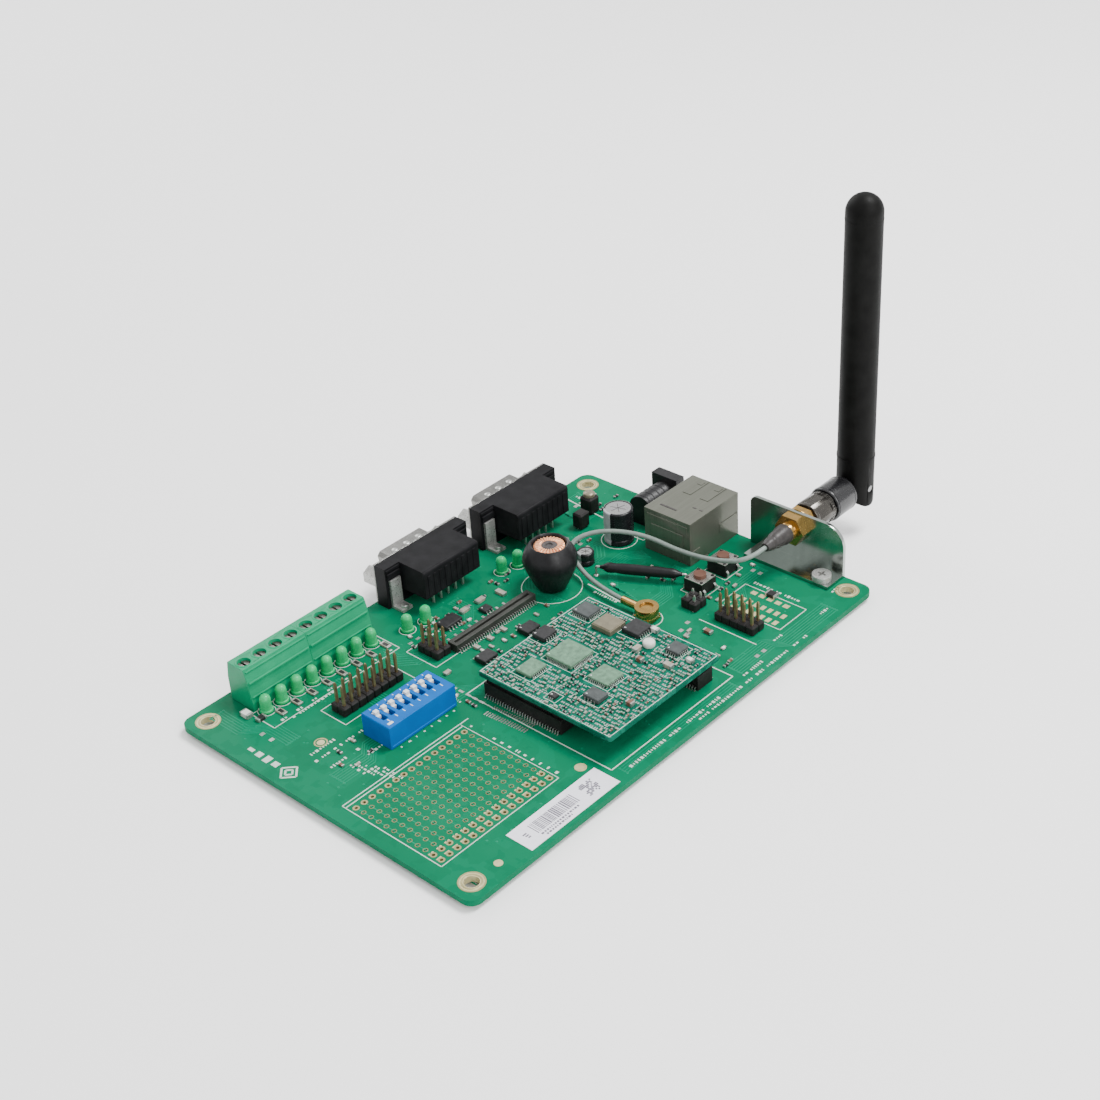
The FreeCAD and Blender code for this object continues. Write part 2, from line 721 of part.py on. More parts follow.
def make_choke():
    """Sleeved drum choke, widest at its middle, the winding showing in the open head."""
    lower = taper("choke_lower", (CHOKE_X, CHOKE_Y, "board_thick"), 4.4, CHOKE_WAIST, 8.0)
    upper = taper("choke_upper", (CHOKE_X, CHOKE_Y, "board_thick + 8.0"), CHOKE_WAIST, 5.4, 6.0)
    bowl = rod("choke_bowl", (CHOKE_X, CHOKE_Y, CHOKE_SEAT), 4.6, 4.0)
    shape = cut("choke_sleeve", join("choke_outer", [lower, upper]), [bowl])
    coil_ring = rod("choke_coil_outer", (CHOKE_X, CHOKE_Y, CHOKE_SEAT), 4.3, 1.1)
    coil_core = rod("choke_coil_core", (CHOKE_X, CHOKE_Y, CHOKE_SEAT), 2.2, 1.1)
    coil = cut("choke_coil", coil_ring, [coil_core])
    core = rod("choke_core", (CHOKE_X, CHOKE_Y, CHOKE_SEAT), 1.9, 1.0)
    return shape, coil, core


def make_can(tag, x, y, radius, height):
    """Radial capacitor: can with a rolled groove near the foot."""
    can = rod(tag + "_can", (x, y, "board_thick"), radius, height)
    ring = doc.addObject("Part::Torus", tag + "_roll")
    ring.Radius1 = radius + 0.15
    ring.Radius2 = 0.4
    place(ring, (x, y, T + 1.6))
    return cut(tag, can, [ring])


choke_sleeve, choke_coil, choke_core = make_choke()
node(choke_sleeve, "choke_sleeve")
node(group("choke_inside", [choke_coil, choke_core]), "choke_winding")

CANS = (("can_a", -18.9, 54.1, 4.2, 10.4), ("can_b", -27.2, 33.6, 3.0, 7.4),
        ("can_c", -18.4, 39.4, 2.4, 3.9))
node(group("can_set", [make_can(*values) for values in CANS]), "capacitors")


def make_axial():
    """Sleeved axial part held over the board on its two bent leads."""
    start = FreeCAD.Vector(-9.0, 38.2, 4.4)
    end = FreeCAD.Vector(6.8, 46.5, 4.4)
    run = end - start
    direction = (run.x, run.y, run.z)
    tube = rod("axial_tube", tuple(start), 1.5, run.Length, direction)
    nose = taper("axial_nose", tuple(end), 1.5, 0.5, 2.4, direction)
    back = taper("axial_back", tuple(start), 1.5, 0.5, 2.4, (-run.x, -run.y, -run.z))
    sleeve = join("axial_sleeve_shape", [tube, nose, back])
    unit = FreeCAD.Vector(run).normalize()
    leads = []
    for tag, point, sign in (("front", end + unit * 2.4, 1), ("rear", start - unit * 2.4, -1)):
        knee = point + unit * (1.2 * sign)
        across = rod("axial_lead_%s" % tag, tuple(point), 0.35, 1.2,
                     (unit.x * sign, unit.y * sign, 0))
        down = rod("axial_drop_%s" % tag, (knee.x, knee.y, "-tail_depth"), 0.35,
                   "tail_depth + 4.4")
        corner = ball("axial_knee_%s" % tag, tuple(knee), 0.35)
        leads.append(join("axial_wire_%s" % tag, [across, corner, down]))
    return sleeve, leads


axial_sleeve, axial_leads = make_axial()
node(axial_sleeve, "axial_sleeve")
node(group("solder_lead_set", terminal_pins + lamp_leads + switch_leads + axial_leads),
     "solder_leads")

# --------------------------------------------------------------------------
# Low strip connector
# --------------------------------------------------------------------------
strip_block = box("strip_block", (-20.0, -12.7, "board_thick"), (3.4, 29.9, 2.4))
strip_groove = box("strip_groove", (-18.7, -11.7, 2.8), (0.8, 27.9, 3))
node(cut("strip_shape", strip_block, [strip_groove]), "strip_connector")

# --------------------------------------------------------------------------
# Plug-in module on two board-to-board connectors
# --------------------------------------------------------------------------
MODULE_TOP = DIMENSIONS["module_bottom"] + DIMENSIONS["module_thick"]
MODULE_CHIPS = (
    (14.3, -3.4, 8.6, 8.6, 1.3), (1.9 + 1.6, -0.8, 4.2, 5.0, 1.4), (5.2, 13.4, 5.4, 5.2, 1.3),
    (20.6, 15.0, 5.4, 5.6, 1.5), (33.8, 14.6, 4.2, 4.2, 1.2), (22.4, -18.2, 2.2, 1.8, 0.9),
    (27.2, -4.6, 6.4, 6.4, 1.1), (30.6, -12.2, 4.9, 3.9, 1.4), (10.6, -13.4, 5.0, 6.2, 1.1),
)


def make_module():
    board = box("module_plate", ("module_left", "module_front", "module_bottom"),
                ("module_width", "module_depth", "module_thick"))
    rounded = soften("module_rounded", board, 0.8, lambda edge: runs_along(edge, "z"))
    sockets = []
    plugs = []
    for tag, left, front in (("near", 1.4, -21.2), ("far", 16.4, 12.6)):
        sockets.append(box("socket_" + tag, (left, front, "board_thick"), (25.6, 5.8, 4.2)))
        plugs.append(box("plug_" + tag, (left + 0.4, front + 0.6, "board_thick + 4.2"),
                         (24.8, 4.6, "module_bottom - board_thick - 4.2")))
    chips = []
    for index, (x, y, wide, deep, high) in enumerate(MODULE_CHIPS):
        chips.append(box("module_chip_%d" % index, (x - wide / 2, y - deep / 2, MODULE_TOP),
                         (wide, deep, high)))
    can = box("radio_can_block", (10.6, 9.0, MODULE_TOP), (6.4, 6.0, 1.7))
    return rounded, sockets, plugs, chips, soften("radio_can_soft", can, 0.4,
                                                  lambda edge: edge.BoundBox.ZMin > MODULE_TOP + 1)


module_board, module_sockets, module_plugs, module_chips, radio_can = make_module()
node(module_board, "module_board")
node(group("module_connector_set", module_sockets + module_plugs), "module_connectors")
node(group("module_chip_set", module_chips + [radio_can]), "module_chips")

# --------------------------------------------------------------------------
# Sticker
# --------------------------------------------------------------------------
node(box("sticker", (41.2, -55.6, "board_thick"), (8.1, 30.1, 0.12)), "sticker_label")

# --------------------------------------------------------------------------
# Antenna bracket, its screw, and the threaded radio socket through it
# --------------------------------------------------------------------------


def make_bracket():
    plate = box("bracket_plate", ("plate_left", "plate_face", "board_thick"),
                ("plate_width", "plate_thick", "plate_top - board_thick"))
    right = DIMENSIONS["plate_left"] + DIMENSIONS["plate_width"]

    def upper_corner(edge):
        return runs_along(edge, "y") and edge.BoundBox.ZMin > 16

    doc.recompute()
    chosen = []
    for index, edge in enumerate(plate.Shape.Edges, start=1):
        if upper_corner(edge):
            radius = 6.0 if edge.BoundBox.XMax > right - 1 else 2.0
            chosen.append((index, radius, radius))
    rounded = doc.addObject("Part::Fillet", "bracket_rounded")
    rounded.Base = plate
    rounded.Edges = chosen
    foot = box("bracket_foot", ("plate_left + 3", "plate_face - foot_depth + plate_thick",
                                "board_thick"),
               ("plate_width - 3", "foot_depth", "plate_thick"))
    whole = join("bracket_whole", [rounded, foot])
    socket_hole = rod("bracket_socket_hole", ("rf_x", 70, "rf_z"), "rf_thread_radius + 0.05", 10,
                      (0, 1, 0))
    screw_hole = rod("bracket_screw_hole", (38.0, 70.4, 0), 1.55, 8)
    return cut("bracket", whole, [socket_hole, screw_hole])


def make_bracket_screw():
    head = rod("bracket_screw_head", (38.0, 70.4, "board_thick + plate_thick"), 2.6, 1.7)
    recess_a = box("bracket_screw_recess_a", (36.7, 70.05, "board_thick + plate_thick + 0.9"),
                   (2.6, 0.7, 2))
    recess_b = box("bracket_screw_recess_b", (37.65, 69.1, "board_thick + plate_thick + 0.9"),
                   (0.7, 2.6, 2))
    shank = rod("bracket_screw_shank", (38.0, 70.4, "-tail_depth"), 1.5,
                "tail_depth + board_thick + plate_thick")
    return join("bracket_screw_shape", [cut("bracket_screw_top", head, [recess_a, recess_b]), shank])


def make_radio_socket():
    """Gold hex body inside the plate, threaded barrel through it, dark crimp behind."""
    flange = hexagon("socket_hex", ("rf_x", "plate_face - 3.0", "rf_z"), 8.0, 3.0, (0, 1, 0))
    thread = rod("socket_thread", ("rf_x", "plate_face", "rf_z"), "rf_thread_radius", 10.0, (0, 1, 0))
    bore = rod("socket_bore", ("rf_x", "plate_face + 6.0", "rf_z"), 2.3, 8.0, (0, 1, 0))
    neck = rod("socket_neck", ("rf_x", "plate_face - 6.5", "rf_z"), 2.6, 3.5, (0, 1, 0))
    outer = join("socket_outer", [flange, thread, neck])
    body = cut("socket_body", outer, [bore])
    crimp = rod("socket_crimp", ("rf_x", 61.5, "rf_z"), 1.9, 7.0, (0, 1, 0))
    washer_blank = rod("socket_washer_blank", ("rf_x", "plate_face + plate_thick", "rf_z"),
                       4.6, 0.5, (0, 1, 0))
    washer_eye = rod("socket_washer_eye", ("rf_x", "plate_face", "rf_z"), "rf_thread_radius + 0.05",
                     4, (0, 1, 0))
    nut_blank = hexagon("socket_nut_blank", ("rf_x", "plate_face + plate_thick + 0.5", "rf_z"),
                        8.0, 2.2, (0, 1, 0))
    nut_eye = rod("socket_nut_eye", ("rf_x", "plate_face", "rf_z"), "rf_thread_radius + 0.05", 8,
                  (0, 1, 0))
    washer = cut("socket_washer", washer_blank, [washer_eye])
    nut = cut("socket_nut", nut_blank, [nut_eye])
    return body, crimp, [washer, nut]


node(make_bracket(), "antenna_bracket")
node(make_bracket_screw(), "bracket_screw")
socket_body, socket_crimp, socket_nuts = make_radio_socket()
node(socket_body, "radio_socket")
node(socket_crimp, "cable_crimp")
node(group("socket_nut_set", socket_nuts), "radio_socket_nuts")

# --------------------------------------------------------------------------
# Antenna: coupling nut, swivelling base, hinge pin, whip
# --------------------------------------------------------------------------
NUT_START = 79.6
NUT_LENGTH = 8.4
BASE_START = 88.3


def make_coupling_nut():
    ring = hexagon("coupling_blank", ("rf_x", NUT_START, "rf_z"), 8.6, NUT_LENGTH, (0, 1, 0))
    dress = rod("coupling_dress", ("rf_x", NUT_START, "rf_z"), 4.55, NUT_LENGTH, (0, 1, 0))
    common = doc.addObject("Part::Common", "coupling_common")
    common.Base = ring
    common.Tool = dress
    bore = rod("coupling_bore", ("rf_x", NUT_START - 1, "rf_z"), 3.22, NUT_LENGTH + 2, (0, 1, 0))
    return cut("coupling_nut_shape", common, [bore])


def make_base():
    """Round base that swivels in the coupling nut and carries the hinge tongue."""
    neck = rod("base_neck", ("rf_x", 85.4, "rf_z"), 3.15, 3.2, (0, 1, 0))
    barrel = rod("base_barrel", ("rf_x", BASE_START, "rf_z"), "base_radius", 8.8, (0, 1, 0))
    edged = soften("base_edged", barrel, 0.5, lambda edge: len(edge.Vertexes) == 1)
    tongue = box("base_tongue", ("rf_x - tongue_thick / 2", BASE_START + 6, "rf_z - 3.6"),
                 ("tongue_thick", "hinge_y - %s" % (BASE_START + 6), 7.2))
    eye = rod("base_eye", ("rf_x - tongue_thick / 2", "hinge_y", "rf_z"), 3.6, "tongue_thick",
              (1, 0, 0))
    whole = join("base_whole", [neck, edged, tongue, eye])
    hole = rod("base_hinge_hole", ("rf_x - 6", "hinge_y", "rf_z"), "hinge_pin_radius + 0.05", 12,
               (1, 0, 0))
    return cut("base_shape", whole, [hole])


def make_whip():
    """Whip on a fork that straddles the tongue; upright at rest."""
    low = DIMENSIONS["whip_bottom"]
    round_centre = DIMENSIONS["whip_top"] - 5.0
    fork_rod = rod("whip_fork_rod", ("rf_x", "hinge_y", low), "whip_radius", "rf_z - whip_bottom")
    fork_end = rod("whip_fork_end", ("rf_x - 8", "hinge_y", "rf_z"), "whip_radius", 16, (1, 0, 0))
    fork_round = doc.addObject("Part::Common", "whip_fork_round")
    fork_round.Base = fork_rod
    fork_round.Tool = fork_end
    fork = join("whip_fork", [fork_round, rod("whip_fork_upper", ("rf_x", "hinge_y", "rf_z"),
                                              "whip_radius", "whip_bottom + 14 - rf_z")])
    shaft = taper("whip_shaft", ("rf_x", "hinge_y", low + 14.0), 5.2, 5.0, round_centre - low - 14.0)
    tip = ball("whip_tip", ("rf_x", "hinge_y", round_centre), 5.0)
    whole = join("whip_whole", [fork, shaft, tip])
    slot = box("whip_slot", ("rf_x - tongue_thick / 2 - 0.1", "hinge_y - 8", low - 1),
               ("tongue_thick + 0.2", 16, 10.2))
    hole = rod("whip_hinge_hole", ("rf_x - 8", "hinge_y", "rf_z"), "hinge_pin_radius", 16,
               (1, 0, 0))
    return cut("whip_shape", whole, [slot, hole])


node(make_coupling_nut(), "coupling_nut")
node(make_base(), "antenna_base")
node(make_whip(), "antenna_whip")
node(rod("hinge_pin_rod", ("rf_x - whip_radius + 0.2", "hinge_y", "rf_z"), "hinge_pin_radius",
         "2 * whip_radius - 0.4", (1, 0, 0)), "hinge_pin")

# --------------------------------------------------------------------------
# Coax lead from the radio socket round the choke to its plug on the board
# --------------------------------------------------------------------------
PLUG_X = 12.0
PLUG_Y = 29.0
CABLE_ROUTE = (
    (26.0, 61.5, 12.4), (26.0, 54.0, 12.0), (17.0, 51.9, 9.6), (5.0, 52.2, 7.6),
    (-7.5, 50.6, 9.6), (-17.4, 43.6, 10.6), (-22.4, 36.4, 8.0), (-15.4, 33.0, 4.6),
    (-5.4, 30.0, 4.0), (3.8, 29.0, 4.2),
)


def rounded_wire(points, share=0.45):
    """Straight runs joined by tangent arcs; returns the wire and the arc radii."""
    from math import tan
    points = [FreeCAD.Vector(*point) for point in points]
    edges = []
    radii = []
    at = points[0]
    for index in range(1, len(points) - 1):
        corner = points[index]
        back = points[index - 1] - corner
        ahead = points[index + 1] - corner
        trim = share * min(back.Length, ahead.Length)
        back.normalize()
        ahead.normalize()
        half_turn = (back * -1).getAngle(ahead) / 2
        radius = trim / tan(half_turn)
        radii.append(round(radius, 2))
        enter = corner + back * trim
        leave = corner + ahead * trim
        toward = (back + ahead).normalize()
        reach = (radius ** 2 + trim ** 2) ** 0.5
        middle = corner + toward * (reach - radius)
        edges.append(Part.LineSegment(at, enter).toShape())
        edges.append(Part.Arc(enter, middle, leave).toShape())
        at = leave
    edges.append(Part.LineSegment(at, points[-1]).toShape())
    return Part.Wire(edges), radii


def make_cable():
    """Tube swept along the rounded route; a path in space has no primitive."""
    wire, radii = rounded_wire(CABLE_ROUTE)
    radius = DIMENSIONS["cable_diameter"] / 2
    start = FreeCAD.Vector(*CABLE_ROUTE[0])
    heading = FreeCAD.Vector(*CABLE_ROUTE[1]) - start
    profile = Part.Wire(Part.Circle(start, heading, radius).toShape())
    tube = wire.makePipeShell([profile], True, False)
    obj = doc.addObject("Part::Feature", "cable")
    obj.Shape = tube
    section = 3.14159265 * radius ** 2
    print("cable length %.2f volume %.2f section x length %.2f" %
          (wire.Length, tube.Volume, section * wire.Length))
    print("cable bend radii", radii)
    return obj


def make_board_plug():
    socket = box("plug_seat", (PLUG_X - 2.5, PLUG_Y - 2.5, "board_thick"), (5.0, 5.0, 1.4))
    cap = rod("plug_cap", (PLUG_X, PLUG_Y, "board_thick + 1.4"), 3.2, 2.5)
    dimple = rod("plug_dimple", (PLUG_X, PLUG_Y, "board_thick + 3.4"), 1.9, 2)
    capped = cut("plug_capped", cap, [dimple])
    ferrule = rod("plug_ferrule", (3.8, PLUG_Y, 4.2), 1.1, 6.2, (1, 0, 0))
    return socket, join("plug_shape", [capped, ferrule])


node(make_cable(), "coax_cable")
plug_seat, plug_shape = make_board_plug()
node(group("coax_plug_set", [plug_seat, plug_shape]), "coax_plug")

# --------------------------------------------------------------------------
# Check and write
# --------------------------------------------------------------------------
doc.recompute()
for obj in doc.Objects:
    if "Invalid" in obj.State or "Error" in obj.State:
        raise RuntimeError("object %s: %s" % (obj.Name, obj.State))
os.makedirs("parts", exist_ok=True)
for obj, label in NODES:
    shape = obj.Shape
    if shape.isNull() or not shape.isValid():
        raise RuntimeError("shape of %s" % label)
    bounds = shape.BoundBox
    print("%-22s solids %3d  volume %9.2f  x %7.2f %7.2f  y %7.2f %7.2f  z %6.2f %6.2f" % (
        label, len(shape.Solids), shape.Volume, bounds.XMin, bounds.XMax, bounds.YMin,
        bounds.YMax, bounds.ZMin, bounds.ZMax))
    shape.exportStep("parts/%s.step" % label)
print(len(NODES), "sub-parts")
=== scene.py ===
"""Looks of the development board: materials, detailed pieces, floor, light and camera.

Lengths are written in millimetres and turned into metres when a mesh is made.
X runs along the short side of the board, Y along the long side, Z up.
"""

import math
import random

import bpy
from mathutils import Matrix, Vector


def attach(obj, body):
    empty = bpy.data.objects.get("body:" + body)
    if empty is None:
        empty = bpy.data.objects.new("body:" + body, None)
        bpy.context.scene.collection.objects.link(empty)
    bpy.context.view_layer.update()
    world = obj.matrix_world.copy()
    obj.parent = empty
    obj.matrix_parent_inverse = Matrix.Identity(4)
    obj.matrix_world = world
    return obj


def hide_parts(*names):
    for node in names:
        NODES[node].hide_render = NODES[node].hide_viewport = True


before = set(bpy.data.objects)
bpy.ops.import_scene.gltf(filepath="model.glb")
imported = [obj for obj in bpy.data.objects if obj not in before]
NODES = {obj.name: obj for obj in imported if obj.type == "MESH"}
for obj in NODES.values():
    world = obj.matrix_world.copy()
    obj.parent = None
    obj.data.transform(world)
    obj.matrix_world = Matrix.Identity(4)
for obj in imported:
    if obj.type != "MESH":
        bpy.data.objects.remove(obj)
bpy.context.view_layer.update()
MM = 0.001
random.seed(11)

# ---- places and sizes that several pieces share, in millimetres
TOP = 1.6
TAIL = -1.2
GRID = 2.54
ALONG_Y = (0, 1, 0)
PROTO_X, PROTO_Y, PROTO_COLUMNS, PROTO_ROWS = 7.6, -70.3, 12, 15
TERMINAL_X, TERMINAL_FRONT, TERMINAL_PITCH = -44.2, -61.3, 5.08
LAMPS = [(-37.4, -59.2 + 5.1 * i) for i in range(8)]
LAMPS += [(-34.5, -13.3), (-33.6, -7.4), (-33.8, 22.0), (-32.6, 27.2)]
HEADERS = ((-24.5, -49.2, 2, 8), (-25.6, -18.4, 3, 2), (26.2, 39.0, 5, 2))
SWITCH_ROWS = [-39.45 + (k - 3.5) * GRID for k in range(8)]
SWITCH_TOP = 8.10
SERIAL_CENTRES = (5.7, 41.9)
KEYS = ((13.5, 59.4), (14.3, 48.4))
CHOKE_X, CHOKE_Y = -18.0, 25.0
SLEEVE_START, SLEEVE_END = Vector((-9.0, 38.2, 4.4)), Vector((6.8, 46.5, 4.4))
POWER_X = -18.8
MODULE_TOP = 9.2
LABEL_TOP = 1.70
RADIO_X, RADIO_Z = 26.0, 12.4

# ---- camera
AZIMUTH, ELEVATION, ROLL = (math.radians(a) for a in (44.48, 32.58, -4.007))
TARGET = Vector((-0.03249, 0.03996, 0.0))
DISTANCE = 0.51028


def make_camera():
    back = Vector((math.sin(AZIMUTH) * math.cos(ELEVATION),
                   -math.cos(AZIMUTH) * math.cos(ELEVATION), math.sin(ELEVATION)))
    right = Vector((math.cos(AZIMUTH), math.sin(AZIMUTH), 0))
    up = back.cross(right)
    right_rolled = right * math.cos(ROLL) + up * math.sin(ROLL)
    up_rolled = up * math.cos(ROLL) - right * math.sin(ROLL)
    data = bpy.data.cameras.new("camera")
    data.lens = 59.64
    data.sensor_width = 36.0
    data.clip_start, data.clip_end = 0.01, 20.0
    camera = bpy.data.objects.new("camera", data)
    bpy.context.scene.collection.objects.link(camera)
    turn = Matrix((right_rolled, up_rolled, back)).transposed().to_4x4()
    camera.matrix_world = Matrix.Translation(TARGET + back * DISTANCE) @ turn
    bpy.context.scene.camera = camera


make_camera()


# ---- materials
BUMP_DEPTH = 0.00004  # metres


class Finish:
    """A procedural surface: toned colour, uneven roughness and a fine bump."""

    def __init__(self, name, base, rough=0.5, metal=0.0, tone=0.12, grain=500.0, dent=0.15,
                 dent_grain=2500.0, stretch=(1, 1, 1), spread=0.12, spec=0.3):
        self.mat = bpy.data.materials.new(name)
        self.mat.use_nodes = True
        self.tree = self.mat.node_tree
        self.shader = self.tree.nodes["Principled BSDF"]
        self.put(self.shader, Metallic=metal, Specular_IOR_Level=spec)
        place = self.new("ShaderNodeTexCoord")
        self.where = self.new("ShaderNodeMapping")
        self.put(self.where, Scale=stretch)
        self.link(place.outputs["Object"], self.where.inputs["Vector"])
        cloud = self.noise(grain, 4.0)
        low = [max(0.0, c * (1 - tone)) for c in base]
        high = [min(1.0, c * (1 + tone) + 0.01 * tone) for c in base]
        self.colour = self.ramp(cloud, (0.32, low), (0.68, high))
        fine = self.noise(dent_grain, 3.0)
        level = self.new("ShaderNodeMapRange")
        self.put(level, From_Min=0.3, From_Max=0.7, To_Min=max(0.02, rough - spread / 2),
                 To_Max=min(1.0, rough + spread / 2))
        self.link(fine, level.inputs["Value"])
        self.link(level.outputs["Result"], self.shader.inputs["Roughness"])
        bump = self.new("ShaderNodeBump")
        self.put(bump, Strength=dent, Distance=BUMP_DEPTH)
        self.link(fine, bump.inputs["Height"])
        self.link(bump.outputs["Normal"], self.shader.inputs["Normal"])
        self.link(self.colour, self.shader.inputs["Base Color"])

    def new(self, kind):
        return self.tree.nodes.new(kind)

    def link(self, a, b):
        self.tree.links.new(a, b)

    def put(self, node, **values):
        """Sets unlinked inputs; an underscore stands for a space in a socket's name."""
        for word, value in values.items():
            node.inputs[word.replace("_", " ")].default_value = value

    def noise(self, scale, detail):
        node = self.new("ShaderNodeTexNoise")
        self.put(node, Scale=scale, Detail=detail)
        self.link(self.where.outputs["Vector"], node.inputs["Vector"])
        return node.outputs["Fac"]

    def cells(self, scale):
        """One random grey per square cell."""
        node = self.new("ShaderNodeTexVoronoi")
        node.distance = "CHEBYCHEV"
        self.put(node, Scale=scale)
        self.link(self.where.outputs["Vector"], node.inputs["Vector"])
        split = self.new("ShaderNodeSeparateColor")
        self.link(node.outputs["Color"], split.inputs["Color"])
        return split.outputs["Red"]

    def ramp(self, value, *stops):
        node = self.new("ShaderNodeValToRGB")
        steps = node.color_ramp.elements
        while len(steps) < len(stops):
            steps.new(0.5)
        for step, (position, colour) in zip(steps, stops):
            step.position = position
            step.color = (*colour, 1.0)
        self.link(value, node.inputs["Fac"])
        return node.outputs["Color"]

    def over(self, mask, colour):
        """Lays another colour on top where the mask is bright."""
        mix = self.new("ShaderNodeMix")
        mix.data_type = "RGBA"
        self.link(mask, mix.inputs[0])
        self.link(self.colour, mix.inputs[6])
        mix.inputs[7].default_value = (*colour, 1.0)
        self.colour = mix.outputs[2]
        self.link(self.colour, self.shader.inputs["Base Color"])



def mask(finish, value, low, high, weight):
    return finish.ramp(value, (low, (0, 0, 0)), (high, (weight, weight, weight)))


def make_pcb(name, base, pour, weight, cell):
    f = Finish(name, base, rough=0.34, tone=0.07, grain=45, dent=0.08, dent_grain=1800, spec=0.03)
    f.over(mask(f, f.cells(cell), 0.52, 0.54, weight), pour)
    f.over(mask(f, f.cells(cell * 3.1), 0.80, 0.82, weight * 0.8), [c * 0.85 for c in base])
    return f.mat


M = {}
M["pcb"] = make_pcb("pcb", (0.0004, 0.118, 0.054), (0.0006, 0.140, 0.067), 0.5, 150)
M["module_pcb"] = make_pcb("module_pcb", (0.001, 0.072, 0.043), (0.012, 0.135, 0.088), 0.6, 420)


def plain(name, base, **more):
    M[name] = Finish(name, base, **more).mat


plain("copper_run", (0.001, 0.160, 0.080), rough=0.35, tone=0.08, spec=0.05)
plain("silk", (0.42, 0.50, 0.44), rough=0.6, tone=0.08, grain=1500)
plain("gold_pad", (0.30, 0.27, 0.13), rough=0.38, metal=0.4, tone=0.15, grain=900)
plain("dim_pad", (0.15, 0.17, 0.075), rough=0.42, metal=0.3, tone=0.2, grain=900)
plain("pale_pad", (0.46, 0.42, 0.23), rough=0.38, metal=0.3, tone=0.12, grain=900)
plain("tin", (0.44, 0.45, 0.43), rough=0.32, metal=0.85, tone=0.12, grain=1200, dent=0.3)
plain("solder", (0.50, 0.51, 0.50), rough=0.24, metal=0.95, tone=0.10, grain=1500, dent=0.5)
plain("black_plastic", (0.010, 0.009, 0.009), rough=0.5, tone=0.25, dent=0.35, spec=0.2)
plain("header_pin", (0.30, 0.21, 0.115), rough=0.36, metal=0.8, tone=0.2, grain=700)
plain("terminal", (0.003, 0.225, 0.100), rough=0.34, tone=0.10, grain=160, dent=0.25, spec=0.12)
plain("brass", (0.50, 0.38, 0.18), rough=0.3, metal=0.9)
plain("screw", (0.16, 0.155, 0.14), rough=0.34, metal=0.85, tone=0.25, grain=1500, dent=0.4)
plain("chip_black", (0.014, 0.014, 0.015), rough=0.42, tone=0.25, grain=900, dent=0.3)
plain("chip_slate", (0.045, 0.052, 0.052), rough=0.35, tone=0.2, grain=700, dent=0.2)
plain("chip_sage", (0.085, 0.175, 0.11), rough=0.32, tone=0.25, grain=900, dent=0.3, spec=0.4)
plain("chip_ceramic", (0.26, 0.25, 0.20), rough=0.5, tone=0.2, grain=1500)
plain("chip_brown", (0.13, 0.06, 0.04), rough=0.5, tone=0.2, grain=1500)
plain("chip_white", (0.55, 0.57, 0.52), rough=0.4, tone=0.05, grain=1500)
plain("switch_blue", (0.0003, 0.092, 0.34), rough=0.32, tone=0.06, grain=200, dent=0.18, spec=0.05)
plain("knob", (0.62, 0.64, 0.64), rough=0.4, tone=0.04, dent=0.15)
plain("port_black", (0.008, 0.008, 0.009), rough=0.45, tone=0.2, grain=300, dent=0.5, dent_grain=3200,
      spec=0.06)
plain("shell", (0.21, 0.21, 0.20), rough=0.28, metal=0.9, tone=0.12, stretch=(1, 12, 1), grain=120)
plain("hardware", (0.40, 0.40, 0.385), rough=0.30, metal=0.55, tone=0.15, grain=600, dent=0.3)
plain("shield", (0.145, 0.150, 0.123), rough=0.20, metal=0.62, tone=0.08, stretch=(18, 1, 1), grain=90)
plain("insert", (0.012, 0.012, 0.012), rough=0.5, tone=0.2)
plain("jack_black", (0.009, 0.009, 0.010), rough=0.4, tone=0.2, grain=300, dent=0.4, spec=0.25)
plain("key_brown", (0.10, 0.045, 0.03), rough=0.42, tone=0.15, dent=0.3)
plain("key_plate", (0.42, 0.41, 0.38), rough=0.26, metal=0.9, tone=0.08, stretch=(14, 1, 1))
plain("shrink", (0.006, 0.006, 0.007), rough=0.40, tone=0.3, grain=260, dent=0.55, dent_grain=900, spec=0.25)
plain("copper", (0.88, 0.46, 0.25), rough=0.34, metal=0.45, tone=0.15, grain=1200)
plain("ferrite", (0.04, 0.035, 0.035), rough=0.6, tone=0.3, grain=1500)
plain("can_sleeve", (0.009, 0.009, 0.011), rough=0.25, tone=0.2, dent=0.2)
plain("can_stripe", (0.28, 0.29, 0.30), rough=0.35, tone=0.1)
plain("can_top", (0.42, 0.42, 0.42), rough=0.24, metal=0.9, tone=0.08, stretch=(1, 10, 1))
plain("can_rose", (0.19, 0.17, 0.12), rough=0.35, metal=0.5, tone=0.15)
plain("strip", (0.024, 0.026, 0.022), rough=0.45, tone=0.2, grain=350, dent=0.3, spec=0.25)
plain("sticker", (0.70, 0.70, 0.76), rough=0.5, tone=0.03, grain=1500, dent=0.12)
plain("ink", (0.12, 0.11, 0.14), rough=0.6, tone=0.2, grain=2500)
# the slight green tint of the bracket's metal colour is a painted reflection of the green board
plain("bracket", (0.37, 0.41, 0.385), rough=0.18, metal=1.0, tone=0.06, stretch=(10, 1, 1), grain=80,
      spread=0.06, dent=0.06)
plain("gold_fitting", (0.42, 0.26, 0.080), rough=0.22, metal=0.95, tone=0.14, grain=700)
plain("crimp", (0.028, 0.025, 0.024), rough=0.42, tone=0.25, grain=700, dent=0.4)
plain("nickel", (0.085, 0.080, 0.072), rough=0.24, metal=0.9, tone=0.15, grain=700)
plain("base_black", (0.007, 0.007, 0.008), rough=0.24, tone=0.15, grain=300, dent=0.12, spec=0.65)
plain("whip_black", (0.0025, 0.0025, 0.0023), rough=0.5, tone=0.2, grain=260, dent=0.3, dent_grain=2600,
      spec=0.08)
plain("steel", (0.30, 0.30, 0.30), rough=0.3, metal=0.95)
plain("coax_jacket", (0.15, 0.185, 0.165), rough=0.38, tone=0.10, grain=900, dent=0.2)
